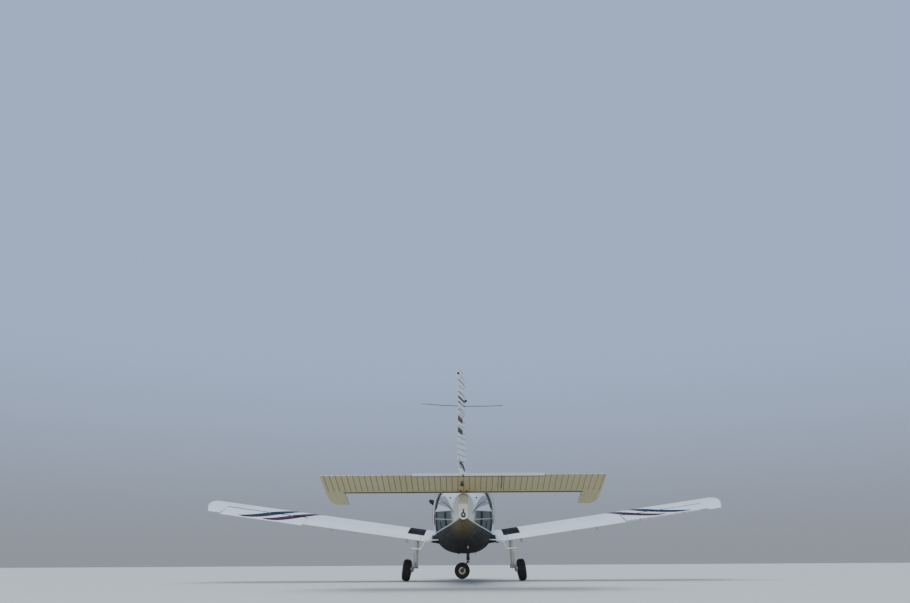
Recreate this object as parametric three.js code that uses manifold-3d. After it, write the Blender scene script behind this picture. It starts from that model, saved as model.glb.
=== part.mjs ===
// A low-wing, single-engine, four-seat touring aircraft on a fixed tricycle gear, parked.
// Millimetres. +Y is forward, +X the right wing, +Z up, and z = 0 is the floor under the tyres.
// Lengthwise places are stations: a station is the distance aft of the spinner's tip.
import * as THREE from "three";
import { mergeVertices } from "three/addons/utils/BufferGeometryUtils.js";
import Module from "manifold-3d";

const wasm = await Module();
wasm.setup();

// Driving dimensions
const LENGTH = 7239;
const NOSE_Y = LENGTH / 2;
const PITCH = 3.6; // degrees nose up, as the aircraft stands
const THRUST_Z = 1190;
const PROP_REST = 60; // degrees that the upper blade leans to the left
const SKIN = 22;
const REAR_SKIN = 12;
const WALL = 36;
const PANE = { outer: 6, inner: 14 }; // depths under the body's surface
const GAP = 0.4; // between pieces that touch
const CLEAR = 8; // between pieces that move

// Wing, in a frame with its origin at the root rib's trailing edge: x outboard, y forward, z up
const WING = { rootX: 640, te: 3100, teZ: 668, chord: 1300, thick: 0.145, camber: 0.022 };
const DIHEDRAL = 7.9;
const INCIDENCE = 7.2;
const FLAP = { inner: 165, outer: 2338, hingeY: 470, drop: 62, dip: 0, brackets: [430, 1870] };
const AILERON = { inner: 2352, outer: 3885, hingeY: 440, drop: 8, dip: 44, brackets: [2700, 3560] };
const COVE = 4; // between a hinged nose and the skin above it
// Blunt tip, bowed outwards. Columns: span, share of the chord, of the thickness, of the bow
const WING_TIP = [
  [4070, 1, 1, 0],
  [4094, 1, 1, 0.86],
  [4106, 0.996, 0.95, 0.94],
  [4114, 0.986, 0.85, 0.98],
  [4118, 0.966, 0.7, 1],
];
const AILERON_REST = 3; // degrees: the left one up, the right one down
const AILERON_UP = 16; // degrees of travel above neutral
const SLAT = { chord: 190, inner: 40, outer: 4060, out: 58, down: 8 };

// Tail
const TAIL_HINGE = { s: 6720, z: 1226, tilt: 5 };
const TAILPLANE = { halfSpan: 1592, thick: 92 };
const ELEVATOR = { noseR: 34, noseHalf: 1700, rest: 20.5, down: 21 };
const TAIL_LAMP = { s: 7046, z: 882, r: 58, long: 32 };
const RUDDER_HINGE = { s: 6655, z: 1400 };
const RUDDER_REST = 8; // degrees, trailing edge to the left
const FIN_TOP = 1088; // along the rudder's hinge line, above its lower end

// Gear
const MAIN = { s: 2600, x: 1062, z: 191.5, tyreR: 190, tyreHalf: 74, rimR: 92, camber: 6.5 };
const NOSE = { s: 760, x: 82, trail: 126, tyreR: 162, tyreHalf: 58, rimR: 70 };

const RAD = Math.PI / 180;
const at = (x, s, z) => new THREE.Vector3(x, NOSE_Y - s, z);
const sillZ = (s) => 985 - (s - 2650) * Math.tan(PITCH * RAD);

// Materials
const paint = (color, roughness = 0.4, metalness = 0) =>
  new THREE.MeshStandardMaterial({ color, roughness, metalness });
const WHITE = paint(0xe9e8e1, 0.32);
const GLASS = paint(0x51606a, 0.05);
GLASS.transparent = true;
GLASS.opacity = 0.4;
const RUBBER = paint(0x17181a, 0.85);
const ALLOY = paint(0xb9bcbf, 0.35, 0.8);
const STEEL = paint(0x5b5e60, 0.5, 0.7);
const BLACK = paint(0x1c1c1e, 0.6);
const TRIM = paint(0x7c6f60, 0.8);

const aircraft = new THREE.Group();
aircraft.name = "aircraft";

// A geometry as a solid for joins and cuts, turned face out.
function solid(geometry) {
  const plain = geometry.clone();
  plain.deleteAttribute("normal");
  plain.deleteAttribute("uv");
  const merged = mergeVertices(plain, 1e-3);
  const vertProperties = merged.attributes.position.array;
  const triVerts = new Uint32Array(merged.index.array);
  const made = new wasm.Manifold(new wasm.Mesh({ numProp: 3, vertProperties, triVerts }));
  if (made.volume() > 0) return made;
  triVerts.reverse();
  return new wasm.Manifold(new wasm.Mesh({ numProp: 3, vertProperties, triVerts }));
}

function geometryOf(made) {
  const { vertProperties, triVerts } = made.getMesh();
  const geometry = new THREE.BufferGeometry();
  geometry.setAttribute("position", new THREE.Float32BufferAttribute(vertProperties, 3));
  geometry.setIndex([...triVerts]);
  geometry.computeVertexNormals();
  return geometry;
}

function add(parent, name, made, material) {
  const mesh = new THREE.Mesh(geometryOf(made), material);
  mesh.name = name;
  parent.add(mesh);
  return mesh;
}

const join = (...pieces) => pieces.reduce((a, b) => a.add(b));

// A closed surface through rings of equally many points, its ends filled with fans.
function loft(rings) {
  const count = rings[0].length;
  const index = [];
  for (let r = 0; r + 1 < rings.length; r++)
    for (let i = 0; i < count; i++) {
      const a = r * count + i;
      const b = r * count + ((i + 1) % count);
      index.push(a, b, a + count, b, b + count, a + count);
    }
  const last = (rings.length - 1) * count;
  for (let i = 1; i + 1 < count; i++) index.push(0, i + 1, i, last, last + i, last + i + 1);
  const geometry = new THREE.BufferGeometry();
  const position = rings.flat().flatMap((p) => [p.x, p.y, p.z]);
  geometry.setAttribute("position", new THREE.Float32BufferAttribute(position, 3));
  geometry.setIndex(index);
  return solid(geometry);
}

// A box from its lowest and highest corners.
function box(x0, x1, y0, y1, z0, z1) {
  const geometry = new THREE.BoxGeometry(x1 - x0, y1 - y0, z1 - z0);
  geometry.translate((x0 + x1) / 2, (y0 + y1) / 2, (z0 + z1) / 2);
  return solid(geometry);
}

// The same, its length given by stations.
const stationBox = (x0, x1, s0, s1, z0, z1) => box(x0, x1, NOSE_Y - s1, NOSE_Y - s0, z0, z1);

// A round bar between two points, with a radius at each.
function rod(from, to, r, rTo = r, sides = 14) {
  const geometry = new THREE.CylinderGeometry(rTo, r, from.distanceTo(to), sides);
  const turn = new THREE.Quaternion().setFromUnitVectors(
    new THREE.Vector3(0, 1, 0),
    to.clone().sub(from).normalize(),
  );
  geometry.applyQuaternion(turn);
  geometry.translate((from.x + to.x) / 2, (from.y + to.y) / 2, (from.z + to.z) / 2);
  return solid(geometry);
}

// A bar bent through several points, with a ball at each bend.
function bentRod(points, r, sides = 10) {
  const bars = points.slice(1).map((p, i) => rod(points[i], p, r, r, sides));
  const ball = (p) => solid(new THREE.SphereGeometry(r, sides, 6).translate(p.x, p.y, p.z));
  const balls = points.slice(1, -1).map(ball);
  return join(...bars, ...balls);
}

// A flat outline in the x-y plane of its own frame, pushed from z0 to z1.
function plate(points, z0, z1) {
  const shape = new THREE.Shape(points.map(([x, y]) => new THREE.Vector2(x, y)));
  const geometry = new THREE.ExtrudeGeometry(shape, { depth: z1 - z0, bevelEnabled: false });
  return solid(geometry.translate(0, 0, z0));
}

// A flat outline of [station, height] points, as wide as from x0 to x1.
function sidePlate(points, x0, x1) {
  const flat = plate(points.map(([s, z]) => [NOSE_Y - s, z]), x0, x1);
  return flat.rotate([90, 0, 90]);
}

// A body of revolution about the y axis from [radius, y] points that start and end on the axis.
function turned(profile, sides) {
  const points = profile.map(([r, y]) => new THREE.Vector2(r, y));
  return solid(new THREE.LatheGeometry(points, sides));
}

// Fuselage sections. Columns: station, lowest z, highest z, half width, z of the greatest width,
// roundness below it, roundness above it (2 is an ellipse, more is squarer).
const COWL_SECTIONS = [
  [262, 900, 1440, 330, 1175, 2.5, 2.5],
  [330, 800, 1480, 400, 1150, 2.6, 2.6],
  [480, 690, 1512, 452, 1120, 2.7, 2.7],
  [860, 592, 1548, 510, 1090, 2.6, 2.8],
  [1326, 528, 1580, 548, 1080, 2.6, 2.8],
];
const CABIN_SECTIONS = [
  [1330, 528, 1580, 548, 1080, 2.6, 2.8],
  [1500, 516, 1602, 556, 1080, 2.6, 2.7],
  [1700, 503, 1725, 563, 1080, 2.6, 2.5],
  [1952, 490, 1838, 568, 1080, 2.6, 2.45],
  [2600, 477, 1868, 568, 1075, 2.6, 2.4],
  [3000, 470, 1830, 552, 1070, 2.6, 2.35],
  [3345, 474, 1740, 517, 1062, 2.55, 2.3],
];
const HOOD_SECTIONS = [
  [1958, 470, 1838, 570, 1080, 2.6, 2.45],
  [2300, 470, 1870, 576, 1080, 2.6, 2.4],
  [2750, 470, 1866, 576, 1075, 2.6, 2.35],
  [3100, 470, 1822, 567, 1072, 2.6, 2.35],
  [3338, 470, 1784, 558, 1070, 2.6, 2.35],
];
const REAR_SECTIONS = [
  [3345.4, 474, 1740, 517, 1062, 2.55, 2.3],
  [3640, 484, 1684, 482, 1054, 2.5, 2.25],
  [3950, 506, 1624, 442, 1045, 2.45, 2.2],
  [4400, 542, 1550, 386, 1032, 2.4, 2.1],
  [4900, 590, 1462, 318, 1015, 2.3, 2.1],
  [5500, 656, 1352, 240, 990, 2.2, 2.1],
  [6100, 726, 1240, 166, 962, 2.1, 2.2],
  [6600, 784, 1172, 108, 945, 2.1, 2.4],
  [7052, 828, 1150, 62, 935, 2.2, 2.8],
];

// The section at any station of a table, row by row between its neighbours.
function sectionAt(table, s) {
  const last = table.length - 2;
  const row = Math.min(last, Math.max(0, table.findIndex((r) => r[0] >= s) - 1));
  const [a, b] = [table[row], table[row + 1]];
  const t = (s - a[0]) / (b[0] - a[0]);
  return a.map((v, i) => v + (b[i] - v) * t);
}

// The closed ring of one section, drawn in by the wall's thickness.
function bodyRing([s, low, high, half, mid, roundLow, roundHigh], inset, count) {
  return Array.from({ length: count }, (_, i) => {
    const angle = ((i + 0.5) / count) * 2 * Math.PI;
    const up = Math.sin(angle) > 0;
    const power = 2 / (up ? roundHigh : roundLow);
    const rise = (up ? high - mid : mid - low) - inset;
    const across = Math.sign(Math.cos(angle)) * Math.abs(Math.cos(angle)) ** power;
    const along = Math.sign(Math.sin(angle)) * Math.abs(Math.sin(angle)) ** power;
    return at((half - inset) * across, s, mid + rise * along);
  });
}

// The body between two stations, drawn in by the wall's thickness.
function body(table, s0, s1, inset = 0, count = 28) {
  const between = table.map((row) => row[0]).filter((s) => s > s0 + 1 && s < s1 - 1);
  return loft([s0, ...between, s1].map((s) => bodyRing(sectionAt(table, s), inset, count)));
}

// The same sections a gap wider, and lower or higher by what is given.
const widened = (table, lower, higher) =>
  table.map(([s, low, high, half, ...rest]) => [s, low - lower, high + higher, half + GAP, ...rest]);

const shell = (table, s0, s1, wall) =>
  body(table, s0, s1).subtract(body(table, s0 - 20, s1 + 20, wall));

// A thin sheet of the body's shape, a little under its surface.
const pane = (table, s0, s1) =>
  body(table, s0, s1, PANE.outer).subtract(body(table, s0 - 40, s1 + 40, PANE.inner));

// Power unit
function powerUnit() {
  const outer = body(COWL_SECTIONS, 262, 1326);
  const inner = body(COWL_SECTIONS, 300, 1346, SKIN);
  const shaftHole = rod(at(0, 200, THRUST_Z), at(0, 420, THRUST_Z), 175, 175, 24);
  const intakes = [-1, 1].map((side) =>
    stationBox(Math.min(side * 200, side * 330), Math.max(side * 200, side * 330), 200, 420, 1120, 1250));
  const chin = stationBox(-130, 130, 200, 460, 880, 985);
  const outlet = stationBox(-168, -56, 1080, 1400, 440, 680);
  const cowl = outer.subtract(join(inner, shaftHole, ...intakes, chin, outlet));
  add(aircraft, "cowl", cowl, WHITE);

  const room = body(COWL_SECTIONS, 320, 1320, SKIN + 24);
  const block = stationBox(-380, 380, 460, 1240, 920, 1410).intersect(room);
  const shaft = rod(at(0, 206, THRUST_Z), at(0, 480, THRUST_Z), 42);
  const mount = [-250, 170].map((x) => stationBox(x, x + 80, 1200, 1329.6, 1050, 1130));
  add(aircraft, "engine_block", join(block, shaft, ...mount), STEEL);

  const spinner = turned(SPINNER, 24);
  add(aircraft, "spinner", spinner.translate([0, NOSE_Y, THRUST_Z]).subtract(bladeHoles()), WHITE);

  add(aircraft, "propeller", propeller(), BLACK);

  const pipe = bentRod([at(-112, 1150, 914), at(-112, 1160, 580), at(-112, 1300, 508)], 34, 12);
  const bore = rod(at(-112, 1220, 549), at(-112, 1330, 492.6), 27, 27, 12);
  add(aircraft, "exhaust_pipe", pipe.subtract(bore), STEEL);
}

// Columns: radius, distance from the tip
const SPINNER = [
  [0, -250],
  [150, -250],
  [158, -170],
  [132, -90],
  [84, -34],
  [40, -8],
  [0, 0],
];

// Each blade is a loft of flat ovals that turn from coarse at the root to fine at the tip.
// Columns: radius, half chord, half thickness, blade angle in degrees
const BLADE = [
  [60, 34, 30, 50],
  [200, 48, 21, 42],
  [420, 72, 12, 27],
  [660, 66, 8, 20],
  [840, 50, 5, 16],
  [885, 34, 4, 15.2],
  [900, 14, 2.5, 15],
];
const PROP_STATION = 150;

function bladeRing([r, half, thick, angle], grow) {
  return Array.from({ length: 12 }, (_, i) => {
    const turn = (i / 12) * 2 * Math.PI;
    const [u, v] = [Math.cos(turn) * (half + grow), Math.sin(turn) * (thick + grow)];
    const tilt = angle * RAD;
    const x = u * Math.cos(tilt) - v * Math.sin(tilt);
    const s = PROP_STATION + u * Math.sin(tilt) + v * Math.cos(tilt);
    return at(x, s, THRUST_Z + r);
  });
}

// Both blades, turned about the thrust line to where they rest.
function blades(grow = 0) {
  const toHub = [0, -NOSE_Y, -THRUST_Z];
  const back = [0, NOSE_Y, THRUST_Z];
  const upright = loft(BLADE.map((row) => bladeRing(row, grow))).translate(toHub);
  return [-PROP_REST, 180 - PROP_REST].map((lean) => upright.rotate([0, lean, 0]).translate(back));
}

function propeller() {
  const hub = rod(at(0, 100, THRUST_Z), at(0, 200, THRUST_Z), 66, 66, 20);
  return join(hub, ...blades());
}

function bladeHoles() {
  const hub = rod(at(0, 99, THRUST_Z), at(0, 201, THRUST_Z), 67, 67, 20);
  const shaft = rod(at(0, 200, THRUST_Z), at(0, 270, THRUST_Z), 50, 50, 20);
  return join(hub, shaft, ...blades(1));
}

// Cabin: a hollow tub with fillets to the wings, a windscreen, a hood that slides aft, a rear shell
const SCREEN_FOOT = [1480, 1640];
const FLOOR_Z = 630;

function belowSill(lift = 0) {
  const points = [
    [1300, 200],
    [4000, 200],
    [4000, sillZ(4000) + lift],
    [1955, sillZ(1955) + lift],
    [SCREEN_FOOT[0], SCREEN_FOOT[1] + lift],
    [1300, SCREEN_FOOT[1] + lift],
  ];
  return sidePlate(points, -900, 900);
}

function cabin() {
  const hull = body(CABIN_SECTIONS, 1330, 3345);
  const hollow = body(CABIN_SECTIONS, 1366, 3400, WALL);
  const fillets = [-1, 1].map(fillet);
  const floor = stationBox(-420, 420, 1350, 3344, FLOOR_Z - 30, FLOOR_Z).intersect(hull);
  const tub = hull.subtract(hollow).intersect(belowSill());
  add(aircraft, "cabin_tub", join(tub, floor, ...fillets.map((f) => f.subtract(hollow))), WHITE);

  const screen = shell(CABIN_SECTIONS, 1330, 1952, SKIN).subtract(belowSill(GAP));
  const panes = screenPanes();
  add(aircraft, "windscreen_frame", screen.subtract(panes), WHITE);
  const glass = pane(CABIN_SECTIONS, 1330, 1952);
  add(aircraft, "windscreen_glass", glass.intersect(screenPanes(-GAP)), GLASS);

  hood();
  rearCabin();
  cockpit();
}

// The windscreen is one pane in a thin frame, its lower edge along the slanted line of its foot.
function screenPanes(grow = 0) {
  const [s0, z0] = SCREEN_FOOT;
  const [s1, z1] = [1955, sillZ(1955)];
  const edge = (s) => z0 + ((s - s0) * (z1 - z0)) / (s1 - s0) + 48 - grow;
  const side = [
    [1450, edge(1450)],
    [1450, 2000],
    [1908 + grow, 2000],
    [1908 + grow, edge(1908 + grow)],
  ];
  return sidePlate(side, -700, 700);
}

// The root fillet runs from the wing's root rib into the side of the body.
function fillet(side) {
  const rib = wingRing(0, 1, 1).map((p) => p.clone());
  const frame = wingFrame();
  const rings = [
    [-GAP, 1, 0],
    [-70, 1.12, 26],
    [-210, 1.25, 92],
  ].map(([x, thick, lift]) =>
    rib.map((p) => {
      const aft = 1 - p.y / WING.chord;
      const z = p.z * thick + (p.z > 0 ? lift * 0.6 : 0);
      const placed = new THREE.Vector3(x, p.y - 40 * (thick - 1) * aft, z);
      placed.applyMatrix4(frame);
      placed.x *= side;
      return placed;
    }));
  return loft(rings);
}

function hood() {
  const group = new THREE.Group();
  const above = sidePlate(
    [
      [1900, sillZ(1900) + CLEAR],
      [3400, sillZ(3400) + CLEAR],
      [3400, 2100],
      [1900, 2100],
    ],
    -900,
    900,
  );
  const whole = shell(HOOD_SECTIONS, 1958, 3338, SKIN).intersect(above);
  const windows = (grow) => join(...[-1, 1].flatMap((side) => hoodWindows(side, grow)));
  add(group, "canopy_frame", whole.subtract(windows(0)), WHITE);
  const sheet = pane(HOOD_SECTIONS, 1958, 3338);
  [-1, 1].forEach((side) => {
    const name = side < 0 ? "left" : "right";
    hoodWindows(side, -GAP).forEach((cut, i) =>
      add(group, "canopy_glass_" + name + (i ? "_rear" : "_front"), sheet.intersect(cut), GLASS));
  });
  aircraft.add(group);
}

// Two windows on each side. Columns: front station, rear station
const HOOD_PANES = [
  [2010, 2640],
  [2700, 3285],
];

function hoodWindows(side, grow) {
  return HOOD_PANES.map(([front, rear]) => {
    const [x0, x1] = [130 - grow, 700].map((x) => x * side).sort((a, b) => a - b);
    const low = (s) => sillZ(s) + 190 - grow;
    const points = [
      [front - grow, low(front)],
      [rear + grow, low(rear)],
      [rear + grow, 2000],
      [front - grow, 2000],
    ];
    return sidePlate(points, x0, x1);
  });
}

function rearCabin() {
  const whole = shell(REAR_SECTIONS, 3345.4, 3950, SKIN);
  const windows = [-1, 1].map((side) => rearWindow(side, 0));
  const bulkhead = body(REAR_SECTIONS, 3928, 3950);
  add(aircraft, "rear_cabin", join(whole.subtract(join(...windows)), bulkhead), WHITE);
  const sheet = pane(REAR_SECTIONS, 3345.4, 3950);
  [-1, 1].forEach((side) => {
    const name = side < 0 ? "left" : "right";
    add(aircraft, "rear_window_" + name, sheet.intersect(rearWindow(side, -GAP)), GLASS);
  });
}

function rearWindow(side, grow) {
  const [x0, x1] = [180 - grow, 700].map((x) => x * side).sort((a, b) => a - b);
  const points = [
    [3420 - grow, 1190 - grow],
    [3760 + grow, 1230 - grow],
    [3860 + grow, 1480 + grow],
    [3800, 1560 + grow],
    [3420 - grow, 1660 + grow],
  ];
  return sidePlate(points, x0, x1);
}

function cockpit() {
  const panel = stationBox(-480, 480, 1560, 1620, 1130, 1440);
  const inside = body(CABIN_SECTIONS, 1366, 3400, WALL + 4);
  add(aircraft, "instrument_panel", panel.intersect(inside), BLACK);
  const stick = (x) => bentRod([at(x, 2010, FLOOR_Z + 14), at(x, 1960, 840), at(x, 1995, 980)], 12, 6);
  const cross = rod(at(-240, 2008, FLOOR_Z + 22), at(240, 2008, FLOOR_Z + 22), 10, 10, 6);
  const feet = [-240, 240].map((x) => stationBox(x - 30, x + 30, 1985, 2035, FLOOR_Z + GAP, FLOOR_Z + 26));
  add(aircraft, "control_sticks", join(stick(-240), stick(240), cross, ...feet), BLACK);
  [-1, 1].forEach((side) => {
    const x = 235 * side;
    const base = stationBox(x - 190, x + 190, 2190, 2620, FLOOR_Z + GAP, 790);
    const back = sidePlate([[2540, 700], [2640, 700], [2790, 1330], [2720, 1345]], x - 190, x + 190);
    add(aircraft, "seat_" + (side < 0 ? "left" : "right"), join(base, back).intersect(inside), TRIM);
  });
  const bench = stationBox(-400, 400, 2900, 3280, FLOOR_Z + GAP, 800);
  const benchBack = sidePlate([[3180, 700], [3270, 700], [3330, 1290], [3270, 1300]], -400, 400);
  add(aircraft, "rear_bench", join(bench, benchBack).intersect(inside), TRIM);
}

// Wing
function wingFrame() {
  const frame = new THREE.Object3D();
  frame.position.copy(at(WING.rootX, WING.te, WING.teZ));
  frame.rotation.set(INCIDENCE * RAD, -DIHEDRAL * RAD, 0, "YXZ");
  frame.updateMatrix();
  return frame.matrix;
}

// Height of the wing's upper (side 1) or lower (side -1) surface at a share of the chord.
function foilZ(share, side) {
  const t = WING.thick * WING.chord * 5;
  const root = 0.2969 * Math.sqrt(share);
  const rest = share * (-0.126 + share * (-0.3516 + share * (0.2843 - share * 0.1036)));
  const line = WING.camber * WING.chord * 4 * share * (1 - share);
  return line + side * (t * (root + rest) + 2.2 * share);
}

const FOIL_SHARES = [1, 0.9, 0.78, 0.66, 0.5, 0.36, 0.24, 0.14, 0.075, 0.03, 0.008];

// How far the tip stands out beyond its trailing edge, for a share of the chord.
const tipBow = (share) => 225 * Math.sin(Math.min(1, (1 - share) / 0.62) * Math.PI / 2)
  - 110 * Math.max(0, (0.3 - share) / 0.3) ** 2;

// The ring of the whole wing section at a span, with shares of its chord, thickness and bow.
function wingRing(span, chordShare, thickShare, bowShare = 0) {
  const place = (share, side) => {
    const y = WING.chord * (1 - share);
    const middle = WING.chord * 0.56;
    const x = span + tipBow(share) * bowShare;
    const z = foilZ(share, side);
    return new THREE.Vector3(x, middle + (y - middle) * chordShare, z * thickShare);
  };
  const upper = FOIL_SHARES.map((share) => place(share, 1));
  const lower = FOIL_SHARES.map((share) => place(share, -1)).reverse();
  return [...upper, place(0, 1), ...lower];
}

const foil = (x0, x1) => loft([wingRing(x0, 1, 1), wingRing(x1, 1, 1)]);

// The hinge of a flap or aileron hangs under the lower surface.
function hingeOf({ hingeY, drop }) {
  return { y: hingeY, z: foilZ(1 - hingeY / WING.chord, -1) - drop };
}

// What a hinged surface takes of the section: a round nose about its hinge and all that is aft of it.
function hingedPart(part, radiusLess, grow) {
  const hinge = hingeOf(part);
  const radius = foilZ(1 - hinge.y / WING.chord, 1) - hinge.z - COVE - radiusLess;
  const [x0, x1] = [part.inner - grow, part.outer + grow];
  const nose = rod(
    new THREE.Vector3(x0, hinge.y, hinge.z),
    new THREE.Vector3(x1, hinge.y, hinge.z),
    radius,
    radius,
    48,
  );
  const dip = grow ? 0 : part.dip + CLEAR;
  return join(nose, box(x0, x1, -200, hinge.y - dip, -300, 300));
}

// Height of the lower surface at a distance forward of the trailing edge.
const lowZ = (y) => foilZ(1 - y / WING.chord, -1);

// A bracket of the flap reaches down to a hinge far below; the aileron's is a short tongue.
function bracket(span, part) {
  const { y, z } = hingeOf(part);
  const hanging = [
    [y + 300, lowZ(y + 300) + 12],
    [y + 16, z - 16],
    [y - 16, z - 16],
    [y - 16, z + 16],
    [y + 200, lowZ(y + 200) - 12],
    [y + 206, lowZ(y + 206) + 12],
  ];
  const tongue = [
    [y + 180, lowZ(y + 180) - 4],
    [y - 16, z - 16],
    [y - 16, z + 16],
    [y + 180, lowZ(y + 180) + 14],
  ];
  return plate(part === FLAP ? hanging : tongue, span - 5, span + 5).rotate([90, 0, 90]);
}

// The aileron's nose is slotted where it turns past a bracket.
function bracketSlot(span, part) {
  const { y, z } = hingeOf(part);
  const far = 260;
  const points = [
    [y - 26, z - 60],
    [y + far, z - 60],
    [y + far, z + far * Math.tan((AILERON_UP + 5) * RAD)],
    [y - 26, z + 26],
  ];
  return plate(points, span - 12, span + 10).rotate([90, 0, 90]);
}

function arm(span, part, reach) {
  const { y, z } = hingeOf(part);
  const points = [
    [y + 14, z - 14],
    [y + 14, z + 20],
    [y + 10, lowZ(y + 10) + 14],
    [y - reach, lowZ(y - reach) + 8],
    [y - 14, z - 14],
  ];
  return plate(points, span + 11, span + 19).rotate([90, 0, 90]);
}

function wing(side) {
  const name = side < 0 ? "left" : "right";
  const mirror = new THREE.Group();
  mirror.scale.x = side;
  const frame = new THREE.Group();
  wingFrame().decompose(frame.position, frame.quaternion, frame.scale);
  mirror.add(frame);
  aircraft.add(mirror);

  const tip = loft(WING_TIP.map((row) => wingRing(...row)));
  const whole = join(foil(0, WING_TIP[0][0] + 10), tip);
  const brackets = [FLAP, AILERON].flatMap((part) => part.brackets.map((span) => bracket(span, part)));
  const pad = rod(new THREE.Vector3(1500, 800, -128), new THREE.Vector3(1500, 800, -60), 40, 40, 16);
  const cut = join(hingedPart(FLAP, 0, CLEAR - 1), hingedPart(AILERON, 0, CLEAR - 1), slatPocket());
  add(frame, "wing_" + name, join(whole.subtract(cut), ...brackets, pad), WHITE);

  const slat = new THREE.Group();
  slat.position.set(0, SLAT.out, -SLAT.down);
  frame.add(slat);
  add(slat, "slat_" + name, slatSolid(), WHITE);

  [
    ["flap_", FLAP, 0, 200],
    ["aileron_", AILERON, AILERON_REST * side, 160],
  ].forEach(([prefix, part, rest, reach]) => {
    const hinge = hingeOf(part);
    const pivot = new THREE.Group();
    pivot.position.set(0, hinge.y, hinge.z);
    pivot.rotation.x = rest * RAD;
    frame.add(pivot);
    const blade = foil(part.inner, part.outer).intersect(hingedPart(part, CLEAR, 0));
    const slots = part === AILERON ? part.brackets.map((span) => bracketSlot(span, part)) : [];
    const slotted = slots.reduce((a, b) => a.subtract(b), blade);
    const made = join(slotted, ...part.brackets.map((span) => arm(span, part, reach)));
    add(pivot, prefix + name, made.translate([0, -hinge.y, -hinge.z]), WHITE);
  });
}

// The wing's own nose behind the slat is the section drawn back and in.
const noseBehindSlat = (grow) =>
  foil(-10, SLAT.outer + 40).translate([0, -(36 - grow), 0]).scale([1, 1, (92 + grow) / 100]);

function slatPocket() {
  const rear = WING.chord - SLAT.chord - 10;
  const front = box(SLAT.inner - 6, SLAT.outer + 6, rear, WING.chord + 50, -200, 200);
  return front.subtract(noseBehindSlat(-7));
}

function slatSolid() {
  const front = box(SLAT.inner, SLAT.outer, WING.chord - SLAT.chord, WING.chord + 50, -42, 200);
  return foil(SLAT.inner, SLAT.outer).intersect(front).subtract(noseBehindSlat(0));
}

// Tail
// A symmetrical section across a fixed span: [distance forward of the hinge, half thickness] points.
function tailRing(x, points) {
  const upper = points.map(([y, half]) => new THREE.Vector3(x, y, half));
  const lower = points.map(([y, half]) => new THREE.Vector3(x, y, -half)).reverse();
  return [...upper, ...lower];
}

const TAILPLANE_SECTION = [
  [40, 0.84],
  [200, 1],
  [380, 0.88],
  [490, 0.56],
  [540, 0.26],
  [556, 0.06],
];

function tailplane(grow = 0) {
  const half = TAILPLANE.thick / 2;
  const points = TAILPLANE_SECTION.map(([y, share], i) => [y + (i ? grow : -grow), half * share + grow]);
  const x = TAILPLANE.halfSpan + grow;
  return loft([tailRing(-x, points), tailRing(x, points)]);
}

// The elevator's section aft of its hinge.
const ELEVATOR_SECTION = [
  [0, 34],
  [-60, 33],
  [-260, 20],
  [-508, 3],
];

function elevator() {
  const inner = TAILPLANE.halfSpan + CLEAR;
  const aft = loft([
    tailRing(-1800, ELEVATOR_SECTION),
    tailRing(1800, ELEVATOR_SECTION),
  ]);
  const { noseR, noseHalf } = ELEVATOR;
  const nose = rod(new THREE.Vector3(-noseHalf, 0, 0), new THREE.Vector3(noseHalf, 0, 0), noseR, noseR, 20);
  const hornSection = [
    [30, 34],
    [250, 31],
    [420, 22],
    [510, 12],
    [540, 3],
  ].reverse();
  const horns = [-1, 1].map((side) => {
    const whole = [...hornSection, ...ELEVATOR_SECTION];
    return loft([tailRing(side * inner, whole), tailRing(side * 1900, whole)]);
  });
  const outline = plate(
    [
      [-1836, -600],
      [1836, -600],
      [1840, 330],
      [1816, 430],
      [1772, 502],
      [1720, 545],
      [-1720, 545],
      [-1772, 502],
      [-1816, 430],
      [-1840, 330],
    ],
    -100,
    100,
  );
  const ends = [-1, 1].map((side) =>
    loft([tailRing(side * 1790, ELEVATOR_SECTION), tailRing(side * 1900, ELEVATOR_SECTION)]));
  return join(aft, nose, ...ends, ...horns).intersect(outline);
}

// Trim tabs stand out behind the elevator. Columns: name, inner end, outer end
const TABS = [
  ["trim_tab_left", -655, -12],
  ["trim_tab_right", 12, 1040],
];
const TAB_SECTION = [
  [-474, 4.5],
  [-548, 2],
];

function tail() {
  const rear = body(REAR_SECTIONS, 3950.4, 7052);
  const hollow = body(REAR_SECTIONS, 3900, 6250, REAR_SKIN);
  const frame = new THREE.Group();
  frame.position.copy(at(0, TAIL_HINGE.s, TAIL_HINGE.z));
  frame.rotation.x = TAIL_HINGE.tilt * RAD;
  frame.updateMatrix();
  aircraft.add(frame);
  const place = (made) => made.rotate([TAIL_HINGE.tilt, 0, 0]).translate(frame.position.toArray());
  add(frame, "tailplane", tailplane(), WHITE);

  const lampAt = (reach) => at(0, TAIL_LAMP.s + reach, TAIL_LAMP.z);
  const lamp = rod(lampAt(0), lampAt(TAIL_LAMP.long), TAIL_LAMP.r, TAIL_LAMP.r - 4, 20);
  const lampHole = rod(lampAt(-46), lampAt(54), TAIL_LAMP.r + GAP, TAIL_LAMP.r + GAP, 20);
  const fuselage = rear.subtract(join(place(tailplane(1)), place(elevatorSweep()), lampHole, hollow));
  const lug = stationBox(-6, 6, 6830, 6900, 750, 830);
  add(aircraft, "rear_fuselage", fuselage.add(lug.subtract(rear)), WHITE);
  const lens = lamp.subtract(rod(lampAt(18), lampAt(44), 26, 30, 16));
  add(aircraft, "tail_light", lens, GLASS);

  const hinged = new THREE.Group();
  hinged.rotation.x = -ELEVATOR.rest * RAD;
  frame.add(hinged);
  const tabSlots = TABS.map(([, x0, x1]) => box(x0 - 2, x1 + 2, -600, -470, -60, 60));
  add(hinged, "elevator", elevator().subtract(join(...tabSlots)), WHITE);
  TABS.forEach(([name, x0, x1]) =>
    add(hinged, name, loft([x0, x1].map((x) => tailRing(x, TAB_SECTION))), WHITE));

  finAndRudder(rear, place(tailplane(1)));
}

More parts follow.
